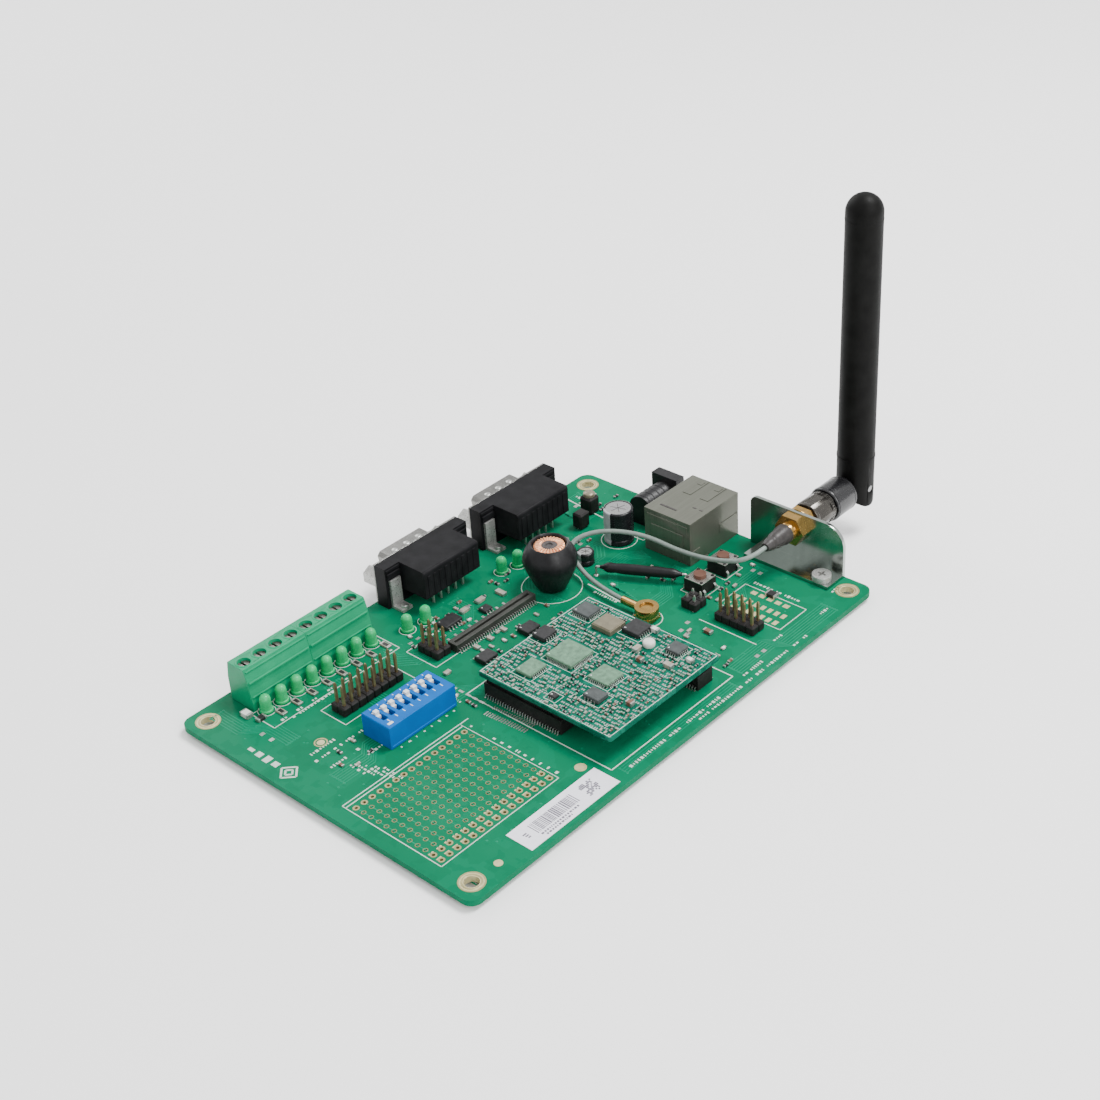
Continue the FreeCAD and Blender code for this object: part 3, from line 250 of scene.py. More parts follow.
lamp = Finish("lamp", (0.012, 0.36, 0.120), rough=0.26, tone=0.12, grain=700, dent=0.1, spec=0.2)
lamp.put(lamp.shader, Subsurface_Weight=0.2, Subsurface_Scale=0.001)
M["lamp"] = lamp.mat


# ---- mesh building
INK = 0.03  # thickness of print and traces


class Shape:
    """Closed solids gathered in millimetres, each with a material mark."""

    def __init__(self):
        self.points, self.faces, self.marks = [], [], []

    def add(self, points, faces, mark=0):
        start = len(self.points)
        self.points += [Vector(p) for p in points]
        self.faces += [tuple(i + start for i in face) for face in faces]
        self.marks += [mark] * len(faces)

    def box(self, low, high, bevel=0.1, mark=0):
        """A block with chamfered edges, from its lowest to its highest corner."""
        low, high = Vector(low), Vector(high)
        middle, half = (low + high) / 2, (high - low) / 2
        cut = min(bevel, min(half) * 0.7)
        signs = [(a, b, c) for a in (-1, 1) for b in (-1, 1) for c in (-1, 1)]
        points, index = [], {}
        for sign in signs:
            for axis in range(3):
                index[sign, axis] = len(points)
                points.append(middle + Vector(
                    [sign[k] * (half[k] if k == axis else half[k] - cut) for k in range(3)]))
        faces = []
        for axis in range(3):
            b, c = (axis + 1) % 3, (axis + 2) % 3
            for s in (-1, 1):
                ring = []
                for tb, tc in ((-1, -1), (1, -1), (1, 1), (-1, 1)):
                    sign = [0, 0, 0]
                    sign[axis], sign[b], sign[c] = s, tb, tc
                    ring.append(index[tuple(sign), axis])
                faces.append(ring if s > 0 else ring[::-1])
            for sb in (-1, 1):
                for sc in (-1, 1):
                    ends = []
                    for sa in (-1, 1):
                        sign = [0, 0, 0]
                        sign[axis], sign[b], sign[c] = sa, sb, sc
                        ends.append(tuple(sign))
                    quad = [index[ends[0], b], index[ends[1], b], index[ends[1], c],
                            index[ends[0], c]]
                    faces.append(quad if sb * sc > 0 else quad[::-1])
        for sign in signs:
            tri = [index[sign, 0], index[sign, 1], index[sign, 2]]
            faces.append(tri if sign[0] * sign[1] * sign[2] > 0 else tri[::-1])
        self.add(points, faces, mark)

    def lathe(self, foot, profile, axis=(0, 0, 1), sides=24, mark=0, ring=False, turn=0.0,
              wobble=None, stripe=None):
        """Turns (radius, height) pairs round an axis; a ring profile closes on itself."""
        foot, axis = Vector(foot), Vector(axis)
        spin = Vector((0, 0, 1)).rotation_difference(axis)
        points, rows = [], []
        for radius, height in profile:
            if radius < 1e-6:
                rows.append([len(points)])
                points.append(foot + spin @ Vector((0, 0, height)))
                continue
            row = []
            for side in range(sides):
                angle = turn + 2 * math.pi * side / sides
                r = radius * (wobble(angle, height) if wobble else 1.0)
                row.append(len(points))
                points.append(foot + spin @ Vector((r * math.cos(angle), r * math.sin(angle), height)))
            rows.append(row)
        pairs = list(zip(rows, rows[1:]))
        if ring:
            pairs.append((rows[-1], rows[0]))
        faces, marks = [], []
        for lower, upper in pairs:
            for side in range(sides):
                after = (side + 1) % sides
                if len(lower) == 1:
                    face = (lower[0], upper[after], upper[side])
                elif len(upper) == 1:
                    face = (lower[side], lower[after], upper[0])
                else:
                    face = (lower[side], lower[after], upper[after], upper[side])
                faces.append(face)
                marks.append(stripe[2] if stripe and stripe[0] <= side < stripe[1] else mark)
        if not ring:
            for row, low_end in ((rows[0], True), (rows[-1], False)):
                if len(row) > 1:
                    faces.append(tuple(row[::-1]) if low_end else tuple(row))
                    marks.append(mark)
        self.add(points, faces)
        self.marks[-len(faces):] = marks

    def washer(self, foot, inner, outer, low, high, **how):
        """A flat ring of rectangular section."""
        self.lathe(foot, ((inner, low), (outer, low), (outer, high), (inner, high)), ring=True,
                   **how)

    def disc(self, foot, radius, high, **how):
        self.lathe(foot, ((0, 0), (radius, 0), (radius, high), (0, high)), **how)

    def sweep(self, path, section, up=(0, 0, 1), mark=0):
        """Carries a closed section along a path, mitred at its corners."""
        path, up = [Vector(p) for p in path], Vector(up)
        points = []
        for k, at in enumerate(path):
            ahead = (path[k + 1] - at).normalized() if k + 1 < len(path) else None
            behind = (at - path[k - 1]).normalized() if k else None
            tangent = ((ahead or behind) + (behind or ahead)).normalized()
            widen = 1 / max(0.5, tangent.dot(ahead or behind))
            u = tangent.cross(up).normalized()
            v = u.cross(tangent)
            for a, b in section:
                points.append(at + u * a * widen + v * b)
        n = len(section)
        faces = []
        for k in range(len(path) - 1):
            for s in range(n):
                a, b = k * n + s, k * n + (s + 1) % n
                faces.append((a, a + n, b + n, b))
        faces.append(tuple(range(n)))
        faces.append(tuple(range(len(points) - 1, len(points) - n - 1, -1)))
        self.add(points, faces, mark)

    def strip(self, path, wide, thick, up=(0, 0, 1), mark=0):
        a, b = wide / 2, thick / 2
        self.sweep(path, ((-a, -b), (-a, b), (a, b), (a, -b)), up, mark)

    def outline(self, x0, y0, x1, y1, z, wide):
        """Four flat strips round a rectangle."""
        corners = [(x0, y0, z), (x1, y0, z), (x1, y1, z), (x0, y1, z), (x0, y0, z)]
        for pair in zip(corners, corners[1:]):
            self.strip(pair, wide, INK)

    def wire(self, path, radius, up=(0, 0, 1), sides=8):
        section = [(radius * math.cos(2 * math.pi * k / sides),
                    -radius * math.sin(2 * math.pi * k / sides)) for k in range(sides)]
        self.sweep(path, section, up)


def piece(name, shape, materials, replaces=(), body="board", smooth=True):
    """Makes the object of a shape, riding on a body."""
    mesh = bpy.data.meshes.new(name)
    mesh.from_pydata([p * MM for p in shape.points], [], shape.faces)
    for word in materials:
        mesh.materials.append(M[word])
    mesh.polygons.foreach_set("material_index", shape.marks)
    if smooth:
        mesh.polygons.foreach_set("use_smooth", [True] * len(mesh.polygons))
        mesh.set_sharp_from_angle(angle=math.radians(50))
    mesh.update()
    obj = bpy.data.objects.new(name, mesh)
    bpy.context.scene.collection.objects.link(obj)
    if smooth:
        obj.modifiers.new("soft_light", "WEIGHTED_NORMAL").keep_sharp = True
    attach(obj, body)
    if replaces:
        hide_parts(*replaces)
    return obj


def dress(node, material, bevel=0.0):
    """Gives a CAD node its material and rounds its sharp edges."""
    obj = NODES[node]
    for holder in obj.material_slots:
        holder.material = M[material]
    if bevel:
        weld = obj.modifiers.new("weld", "WELD")
        weld.merge_threshold = 1e-6
        round_edges = obj.modifiers.new("round_edges", "BEVEL")
        round_edges.width = bevel * MM
        round_edges.segments = 2
        round_edges.limit_method = "ANGLE"
        round_edges.angle_limit = math.radians(38)
        round_edges.use_clamp_overlap = True
        round_edges.harden_normals = True


# ---- the coaxial lead
CABLE_ROUTE = ((26.0, 61.5, 12.4), (26.0, 54.0, 12.0), (17.0, 51.9, 9.6), (5.0, 52.2, 7.6),
               (-7.5, 50.6, 9.6), (-17.4, 43.6, 10.6), (-22.4, 36.4, 8.0), (-15.4, 33.0, 4.6),
               (-5.4, 30.0, 4.0), (3.8, 29.0, 4.2))


def make_lead():
    curve = bpy.data.curves.new("coax_lead", "CURVE")
    curve.dimensions = "3D"
    spline = curve.splines.new("NURBS")
    spline.points.add(len(CABLE_ROUTE) - 1)
    for point, place in zip(spline.points, CABLE_ROUTE):
        point.co = (*(Vector(place) * MM), 1.0)
    spline.order_u = 3
    spline.use_endpoint_u = True
    spline.resolution_u = 14
    curve.bevel_depth = 0.00065
    curve.bevel_resolution = 4
    curve.use_fill_caps = True
    curve.materials.append(M["coax_jacket"])
    lead = bpy.data.objects.new("coax_lead", curve)
    bpy.context.scene.collection.objects.link(lead)
    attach(lead, "board")
    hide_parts("coax_cable")


make_lead()

# ---- CAD nodes that stay
# material, bevel in millimetres, nodes
COATS = (
    ("pcb", 0, "main_board"),
    ("brass", 0.1, "terminal_clamps"),
    ("switch_blue", 0.14, "switch_housing"),
    ("port_black", 0.3, "serial_housings"),
    ("shell", 0.15, "serial_shells"),
    ("hardware", 0.15, "serial_hardware"),
    ("shield", 0.12, "network_shield"),
    ("insert", 0.12, "network_insert"),
    ("jack_black", 0.3, "power_jack"),
    ("black_plastic", 0.15, "key_bodies module_connectors"),
    ("key_plate", 0.05, "key_plates"),
    ("key_brown", 0.2, "key_button_1 key_button_2"),
    ("strip", 0.15, "strip_connector"),
    ("module_pcb", 0.08, "module_board"),
    ("sticker", 0, "sticker_label"),
    ("bracket", 0.15, "antenna_bracket"),
    ("hardware", 0.2, "bracket_screw"),
    ("gold_fitting", 0.15, "radio_socket radio_socket_nuts"),
    ("nickel", 0.25, "coupling_nut"),
    ("base_black", 0.1, "antenna_base"),
    ("whip_black", 0.15, "antenna_whip"),
    ("steel", 0.15, "hinge_pin"),
    ("gold_fitting", 0.12, "coax_plug"),
    ("terminal", 0.18, "terminal_housing_a terminal_housing_b"),
)
for material, bevel, nodes in COATS:
    for node in nodes.split():
        dress(node, material, bevel)
for number in range(1, 9):
    dress("terminal_screw_%d" % number, "screw", 0.12)
    dress("switch_knob_%d" % number, "knob", 0.14)


# ---- printed and plated layers
def plated_hole(shape, x, y, bore, rim, sides, mark):
    """A barrel through the board with a flange on both faces."""
    wall = bore - 0.06
    shape.lathe((x, y, 0), ((wall, -0.04), (rim, -0.04), (rim, 0.0), (bore, 0.0), (bore, TOP),
                            (rim, TOP), (rim, TOP + 0.04), (wall, TOP + 0.04)),
                sides=sides, ring=True, mark=mark)


def make_plating():
    rims = Shape()
    for x in (-45.72, 45.72):
        for y in (-71.12, 71.12):
            plated_hole(rims, x, y, 1.9, 3.15, 48, 1)
            rims.lathe((x, y, TOP), ((2.0, 0.0), (2.55, 0.0), (2.45, 0.09), (2.1, 0.09)), sides=48,
                       ring=True, mark=0)
            rims.lathe((x, y, TOP), ((2.85, 0.0), (3.25, 0.0), (3.2, 0.09), (2.9, 0.09)), sides=48,
                       ring=True, mark=0)
    for row in range(PROTO_ROWS):
        for column in range(PROTO_COLUMNS):
            x, y = PROTO_X + column * GRID, PROTO_Y + row * GRID
            wide = column in (0, 10, 11)
            plated_hole(rims, x, y, 0.5, 0.86 if wide else 0.68, 12, 0 if wide else 2)
            if column >= 10:
                rims.box((x - 1.05, y - 0.75, TOP), (x - 0.6, y + 0.75, TOP + 0.035), 0.01, 1)
    for x, y, r in ((-17.1, -59.25, 1.0), (46.15, -63.15, 1.1), (38.6, -27.3, 1.5)):
        rims.disc((x, y, TOP), r, 0.05, sides=28, mark=1)
    rims.washer((-17.1, -59.25, TOP), 1.35, 1.75, 0, 0.05, sides=28)
    piece("plated_rims", rims, ("gold_pad", "pale_pad", "dim_pad"))


make_plating()


def make_footprints():
    """Bare solder lands: the strip by the grid and the empty sockets by the small header."""
    pads = Shape()

    def land(x, y, wide, deep, mark=0):
        pads.box((x - wide / 2, y - deep / 2, TOP), (x + wide / 2, y + deep / 2, TOP + 0.05), 0.02, mark)

    for k in range(17):
        land(6.6 + 0.78 * k, -26.1 + 0.06 * k, 0.42, 1.7)
        land(6.6 + 0.78 * k, -23.4 + 0.06 * k, 0.42, 1.2)
    for k in range(8):
        land(24.2 + 2.2 * k, 47.6, 1.25, 1.9, 1)
        land(24.2 + 2.2 * k, 51.2, 1.25, 1.9, 1)
    for k in range(5):
        land(27.0 + 2.6 * k, 55.4, 1.7, 1.5, 1)
    for k in range(9):
        land(-16.5 + 2.4 * k, -23.6, 1.5, 0.7)
    for k in range(10):
        land(-22.6, -12.3 + 2.6 * k, 1.5, 0.7)
        land(-29.6, -17.0 + 2.7 * k, 0.8, 1.3)
    for x, y in ((-31.0, -66.0), (-27.5, -66.0), (22.4, 30.2), (24.6, 30.2), (21.5, 34.0), (44.6, 33.2),
                 (44.6, 36.0), (-26.0, 45.6), (-23.4, 45.6), (20.2, 63.9), (22.6, 63.9), (-40.5, 60.0),
                 (-40.5, 62.4), (-4.0, 25.6), (-1.6, 25.6), (8.8, 22.6), (11.0, 22.6)):
        land(x, y, 1.1, 1.3)
    piece("bare_lands", pads, ("tin", "pale_pad"))


make_footprints()

# Bundles of copper runs: start, legs, number of lines and the step between them.
RUNS = (
    ((-33, -44), ((4, 0), (3, 3), (10, 0)), 7, (0, 0.8)),
    ((-30, -26), ((5, 0), (4, 4), (0, 12), (4, 4)), 6, (-0.7, 0.7)),
    ((-18, -28), ((4, 0), (3, 3), (0, 2)), 6, (0.8, 0)),
    ((-34.5, 2), ((6, 0), (5, -5), (8, 0)), 5, (0, 0.8)),
    ((-33, 38), ((4, -2), (0, -10), (6, -6), (8, 0)), 6, (0.8, 0.4)),
    ((-31, 46), ((8, 0), (4, -4), (0, -10)), 5, (0.7, 0.7)),
    ((-10, 53), ((-4, -4), (0, -6), (8, -8), (6, 0)), 6, (0.8, -0.2)),
    ((2, 53), ((0, -7), (5, -5), (0, -12)), 6, (0.8, 0)),
    ((20, 66), ((0, -10), (4, -4), (0, -8)), 5, (0.8, 0)),
    ((44, 62), ((0, -20), (-3, -3), (0, -14)), 7, (0.8, 0)),
    ((46, 20), ((0, -42),), 4, (0.8, 0)),
    ((-46, -66), ((10, 0), (5, 5), (8, 0)), 6, (0, -0.8)),
    ((-6, -66), ((0, 10), (-3, 3), (0, 4)), 7, (0.8, 0)),
    ((-8, -27), ((0, 3), (6, 6)), 8, (0.8, 0)),
    ((-26, 62), ((-5, 0), (-4, -4), (0, -4)), 5, (0.6, 0.6)),
    ((-45, 66), ((0, -7), (4, -4), (5, 0)), 5, (0.7, -0.2)),
)


def make_runs():
    """Traces under the solder mask, and the vias at their ends, on both faces."""
    runs, dots = Shape(), Shape()
    for start, legs, count, step in RUNS:
        for k in range(count):
            at = Vector((start[0] + step[0] * k, start[1] + step[1] * k, 0))
            path = [at]
            for leg in legs:
                at = at + Vector((leg[0], leg[1], 0))
                path.append(at)
            for face, flip in ((TOP + 0.012, 1), (-0.012, -1)):
                runs.strip([Vector((flip * p.x, p.y, face)) for p in path], 0.32, INK)
            for end in (path[0], path[-1]):
                dots.lathe((end.x, end.y, TOP), ((0, 0), (0.42, 0), (0.36, 0.05), (0.14, 0.05),
                                                  (0, 0.02)), sides=10)
    for _ in range(260):
        x, y = random.uniform(-48, 48), random.uniform(-72, 72)
        if not (5 < x < 38 and y < -33) and abs(abs(x) - 45.7) > 4:
            dots.lathe((x, y, TOP), ((0, 0), (0.34, 0), (0.3, 0.04), (0.12, 0.04), (0, 0.02)), sides=8)
            dots.lathe((x, y, 0), ((0, -0.04), (0.34, -0.04), (0.34, 0), (0, 0)), sides=8)
    piece("copper_runs", runs, ("copper_run",))
    piece("via_rims", dots, ("copper_run",))


make_runs()


def make_silk():
    """White print: outlines, ticks and rows of plain bars where the board carries notes."""
    ink = Shape()

    def line(points, wide):
        ink.strip([(x, y, TOP + INK) for x, y in points], wide, INK)

    def circle(x, y, r, wide=0.25):
        ink.washer((x, y, TOP), r - wide, r, 0, 0.045, sides=40)

    def bars(x, y, length, along="y", tall=1.1):
        """A run of short bars of uneven width, standing for a printed note."""
        gap, done = 0.45, 0.0
        while done < length:
            wide = random.choice((0.35, 0.5, 0.8))
            high = tall * random.choice((0.65, 1.0))
            if random.random() < 0.82:
                a = (x - high / 2, y + done) if along == "y" else (x + done, y - high / 2)
                b = (x + high / 2, y + done + wide) if along == "y" else (x + done + wide, y + high / 2)
                ink.box((*a, TOP), (*b, TOP + 0.04), 0.01)
            done += wide + gap

    ink.outline(-2.6, -23.6, 45.0, 22.6, TOP + INK, 0.34)
    line(((-47.8, 61.7), (-30.0, 59.9)), 0.4)
    line(((-11.0, 31.8), (3.6, 30.4)), 0.45)
    line(((23.0, 37.0), (41.5, 37.0)), 0.3)
    for x0, y0, x1, y1, wide in ((22.6, 45.8, 42.4, 57.4, 0.25), (-26.6, -50.8, -17.4, -26.9, 0.25),
                                 (-27.6, -20.4, -16.6, -11.5, 0.25), (-24.4, 57.6, -13.2, 75.8, 0.25),
                                 (-39.2, -62.6, -30.4, -20.2, 0.25), (9.8, 55.6, 17.2, 63.2, 0.22),
                                 (10.6, 44.6, 18.0, 52.2, 0.22)):
        ink.outline(x0, y0, x1, y1, TOP + INK, wide)
    circle(CHOKE_X, CHOKE_Y, 8.4)
    circle(-18.9, 54.1, 5.2)
    circle(-27.2, 33.6, 3.9)
    circle(12.0, 29.0, 4.2)
    for x, y in LAMPS:
        circle(x, y, 2.35, 0.2)
    # prototyping grid: a double line on the left, copper joining each row
    links = Shape()
    left, front = PROTO_X - 3.0, PROTO_Y - 1.6
    right = PROTO_X + (PROTO_COLUMNS - 1) * GRID
    back = PROTO_Y + (PROTO_ROWS - 1) * GRID
    line(((PROTO_X - 1.9, front), (PROTO_X - 1.9, back + 1.4)), 0.3)
    line(((left, front), (left, back + 4.4)), 0.3)
    line(((left, front), (right + 1.6, front)), 0.25)
    line(((right + 1.6, front), (right + 1.6, back + 1.4)), 0.25)
    line(((left, back + 1.4), (right + 1.6, back + 1.4)), 0.2)
    for row in range(PROTO_ROWS):
        y = PROTO_Y + row * GRID
        links.strip([(PROTO_X + 0.9, y, TOP + 0.02), (right - 3.2, y, TOP + 0.02)], 0.34, INK)
    for k in range(PROTO_COLUMNS):
        bars(PROTO_X + k * GRID - 0.5, back + 2.6, 0.9, "x", 0.9)
    # long rows of notes beside the module and along the right edge
    bars(47.6, -20.0, 34.0, tall=0.9)
    bars(49.2, 4.0, 44.0, tall=0.8)
    bars(46.9, 24.5, 9.0, tall=0.9)
    for k in range(5):
        bars(-6.0 + 2.0 * k, -60.6 + 1.1 * k, 6.5, "x", 0.7)
    for x, y, length, along, tall in (
        (-12.6, -66.0, 17.0, "y", 0.9), (-15.4, -64.0, 9.0, "y", 0.9),
        (-30.0, -57.0, 13.0, "y", 0.8), (-8.0, -64.2, 8.5, "y", 0.9),
        (-4.6, -56.2, 7.0, "y", 0.8), (-10.5, -26.9, 9.0, "x", 0.9),
        (-27.8, -12.0, 7.0, "y", 0.8), (19.6, 38.6, 5.0, "y", 0.8), (24.0, 59.4, 15.0, "x", 1.0),
        (-44.0, 64.2, 9.0, "x", 1.0), (-8.6, 30.0, 9.0, "x", 0.8)
    ):
        bars(x, y, length, along, tall)
    for k in range(8):
        y = TERMINAL_FRONT + TERMINAL_PITCH * (k + 0.5)
        bars(-31.4, y - 0.8, 1.6, tall=0.8)
        bars(-12.4, -48.4 + GRID * k, 0.7, tall=0.8)
        bars(-0.3, -48.4 + GRID * k, 0.7, tall=0.8)
    # a plain diamond, square and bars in the corner
    for scale in (2.6, 1.2):
        points = [(-14.6 - scale, -71.6), (-14.6, -71.6 + scale), (-14.6 + scale, -71.6),
                  (-14.6, -71.6 - scale), (-14.6 - scale, -71.6)]
        for pair in zip(points, points[1:]):
            line(pair, 0.5)
    for k, tall in enumerate((1.1, 1.7, 2.3, 1.7)):
        x = -29.4 + 3.0 * k
        ink.box((x, -71.6 - tall / 2, TOP), (x + 1.9, -71.6 + tall / 2, TOP + 0.05), 0.02)
    for x, y in ((-42.6, -55), (44.0, 41.0), (43.0, 68.0), (-29.0, 66.0), (46.4, 58.0)):
        bars(x, y, 3.4, tall=0.8)
    piece("silk_print", ink, ("silk",), smooth=False)
    piece("grid_links", links, ("copper_run",), smooth=False)


make_silk()


def make_sticker_print():
    marks = Shape()
    low, high = LABEL_TOP, LABEL_TOP + 0.035
    y = -50.4
    while y < -36.4:
        thick = random.choice((0.16, 0.26, 0.42))
        marks.box((42.9, y, low), (46.5, y + thick, high), 0.008)
        y += thick + random.choice((0.16, 0.24, 0.36))
    for row, (start, stop) in enumerate(((-50.2, -38.0), (-49.4, -41.0))):
        y = start
        while y < stop:
            thick = random.choice((0.3, 0.5, 0.7))
            marks.box((47.0 + 0.9 * row, y, low), (47.55 + 0.9 * row, y + thick, high), 0.008)
            y += thick + 0.3
    for i in range(9):
        for j in range(9):
            if random.random() < 0.55:
                x, y = 42.9 + 0.5 * i, -33.6 + 0.5 * j
                marks.box((x, y, low), (x + 0.45, y + 0.45, high), 0.008)
    for k in range(3):
        marks.box((44.2 + 0.7 * k, -53.4 + 0.2 * k, low), (44.6 + 0.7 * k, -52.2, high), 0.008)
    piece("sticker_print", marks, ("ink",), smooth=False)


make_sticker_print()


# ---- pin headers
def square_pin(shape, x, y, low, high, half, mark=0):
    wide, tip = half * math.sqrt(2), half * 0.55
    shape.lathe((x, y, 0), ((tip, low), (wide, low + 0.4), (wide, high - 0.6), (tip, high)), sides=4,
                turn=math.pi / 4, mark=mark)


def make_headers():
    blocks, pins = Shape(), Shape()
    for left, front, across, along in HEADERS:
        for i in range(across):
            for j in range(along):
                x, y = left + i * GRID, front + j * GRID
                blocks.box((x, y, TOP), (x + GRID, y + GRID, TOP + GRID), 0.32)
                blocks.box((x + 0.5, y + 0.5, TOP + 2.3), (x + GRID - 0.5, y + GRID - 0.5, TOP + 2.62), 0.1)
                square_pin(pins, x + GRID / 2, y + GRID / 2, TAIL, 10.1, 0.32)
    piece("header_blocks", blocks, ("black_plastic",), ("header_bases",))
    piece("header_posts", pins, ("header_pin",), ("header_pins",))


make_headers()


# ---- leads and solder joints
def joint(shape, x, y, r=0.85, mark=1):
    """Fillet of solder round a lead under the board."""
    shape.lathe((x, y, 0), ((r, 0.0), (r * 0.86, -0.14), (r * 0.62, -0.42), (0.42, -0.80), (0, -0.95)),
                sides=12, mark=mark)


def make_leads():
    leads = Shape()
    for k in range(8):
        y = TERMINAL_FRONT + TERMINAL_PITCH * (k + 0.5)
        square_pin(leads, TERMINAL_X, y, TAIL, 2.9, 0.5)
        joint(leads, TERMINAL_X, y, 1.2)
    for x, y in LAMPS:
        for side in (-0.635, 0.635):
            square_pin(leads, x, y + side, TAIL, TOP + 0.4, 0.22)
            joint(leads, x, y + side, 0.6)
    for y in SWITCH_ROWS:
        for x in (-10.0, -2.4):
            square_pin(leads, x, y, TAIL, TOP, 0.25)
            joint(leads, x, y, 0.8)
    for left, front, across, along in HEADERS:
        for i in range(across):
            for j in range(along):
                joint(leads, left + (i + 0.5) * GRID, front + (j + 0.5) * GRID, 0.85)
    unit = (SLEEVE_END - SLEEVE_START).normalized()
    for point, sign in ((SLEEVE_END + unit * 2.2, 1), (SLEEVE_START - unit * 2.2, -1)):
        knee = point + unit * (1.4 * sign)
        path = [point - unit * (0.4 * sign), point + unit * (0.9 * sign),
                point + unit * (1.25 * sign) + Vector((0, 0, -0.14)), knee + Vector((0, 0, -0.5)),
                Vector((knee.x, knee.y, -1.15))]
        leads.wire(path, 0.35, up=(unit.y, -unit.x, 0))
        joint(leads, knee.x, knee.y, 0.95)
        leads.lathe((knee.x, knee.y, TOP), ((0.8, 0), (0.7, 0.12), (0.4, 0.3), (0, 0.3)), sides=12, mark=1)
    piece("solder_joints", leads, ("tin", "solder"), ("solder_leads",))


make_leads()


# ---- terminals and lamps
def make_terminal_ribs():
    ribs = Shape()
    long = 4 * TERMINAL_PITCH
    for start in (TERMINAL_FRONT, TERMINAL_FRONT + long):
        low, high = start + 0.35, start + long - 0.35
        ribs.box((-40.9, low, 9.0), (-40.15, high, 9.7), 0.18)
        ribs.box((-40.3, low, 5.0), (-39.7, high, 5.6), 0.15)
        ribs.box((-41.9, low, 12.1), (-41.05, high, 12.6), 0.15)
        for k in range(4):
            y = start + TERMINAL_PITCH * (k + 0.5)
            profile = ((2.15, -0.3), (2.35, 0.0), (2.25, 0.10), (1.78, 0.10), (1.78, -0.3))
            ribs.lathe((TERMINAL_X, y, 13.2), profile, sides=32, ring=True)
            for low_y, high_y in ((y - 2.2, y - 1.95), (y + 1.95, y + 2.2)):
                ribs.box((-48.62, low_y, 2.2), (-48.3, high_y, 7.4), 0.06)
    piece("terminal_ribs", ribs, ("terminal",))


make_terminal_ribs()


def make_lamps():
    lenses = Shape()
    for x, y in LAMPS:
        profile = [(0, 0), (1.72, 0), (1.80, 0.08), (1.80, 0.70), (1.72, 0.80), (1.52, 0.84), (1.5, 3.4)]
        for k in range(1, 8):
            angle = math.pi / 2 * k / 8
            profile.append((1.5 * math.cos(angle), 3.5 + 1.5 * math.sin(angle)))
        profile.append((0, 5.0))
        lenses.lathe((x, y, TOP), profile, sides=28)
    piece("lamp_domes", lenses, ("lamp",), ("lamp_lenses",))


make_lamps()


# ---- surface parts
def chip_pair(shape, x, y, z, wide, deep, high, body=0, ends=1):
    """A two-ended chip part: ceramic body, wrapped metal ends along its longer side."""
    along_x = wide >= deep
    length = wide if along_x else deep
    cap = min(0.55, length * 0.24)
    a, b = wide / 2, deep / 2
    shape.box((x - a + 0.03, y - b + 0.03, z), (x + a - 0.03, y + b - 0.03, z + high - 0.03), 0.06, body)
    for sign in (-1, 1):
        off = sign * (length / 2 - cap / 2)
        if along_x:
            low, far = (x + off - cap / 2, y - b, z), (x + off + cap / 2, y + b, z + high)
        else:
            low, far = (x - a, y + off - cap / 2, z), (x + a, y + off + cap / 2, z + high)
        shape.box(low, far, 0.07, ends)


def gull(shape, x, y, z, away, drop, reach, wide, mark=1):
    """A bent lead from the side of a package down to its land."""
    ax, ay = away
    steps = ((-0.1, drop), (reach * 0.35, drop), (reach * 0.55, 0.09), (reach, 0.09))
    path = [(x + ax * out, y + ay * out, z + rise) for out, rise in steps]
    shape.strip(path, 0.13, wide, up=(-ay, ax, 0), mark=mark)


def package(shape, x, y, z, wide, deep, high, pins, pitch, sides, reach, body=0, width=0.34):
    """A chip with gull leads along the sides named x, y or both, and a dot at its first pin."""
    a, b = wide / 2, deep / 2
    shape.box((x - a, y - b, z + 0.1), (x + a, y + b, z + high), 0.16, body)
    shape.lathe((x - a + 0.7, y - b + 0.7, z + high - 0.01), ((0, 0), (0.26, 0), (0.22, 0.03), (0, 0.03)),
                sides=12, mark=1)
    for k in range(pins):
        off = (k - (pins - 1) / 2) * pitch
        for sign in (-1, 1):
            if "x" in sides:
                gull(shape, x + sign * a, y + off, z, (sign, 0), high * 0.5, reach, width)
            if "y" in sides:
                gull(shape, x + off, y + sign * b, z, (0, sign), high * 0.5, reach, width)


SMALL_PARTS = (
    (-39.7, -63.7, 3.0, 2.0, 1.3, 4), (-35.7, -62.4, 1.6, 2.6, 1.0, 0), (28.6, 33.6, 2.6, 1.4, 1.0, 3),
    (31.6, 57.1, 3.2, 2.2, 1.1, 0), (-28.6, 2.0, 1.6, 3.0, 0.9, 2), (-28.6, 8.0, 1.6, 3.0, 0.9, 2),
    (-26.6, 14.0, 3.2, 1.6, 0.9, 2), (-14.2, -8.0, 2.0, 1.3, 0.8, 2), (-14.2, -3.0, 2.0, 1.3, 0.8, 2),
    (-14.2, 2.0, 2.0, 1.3, 0.8, 2), (-12.5, -20.5, 1.3, 2.0, 0.8, 2),
)


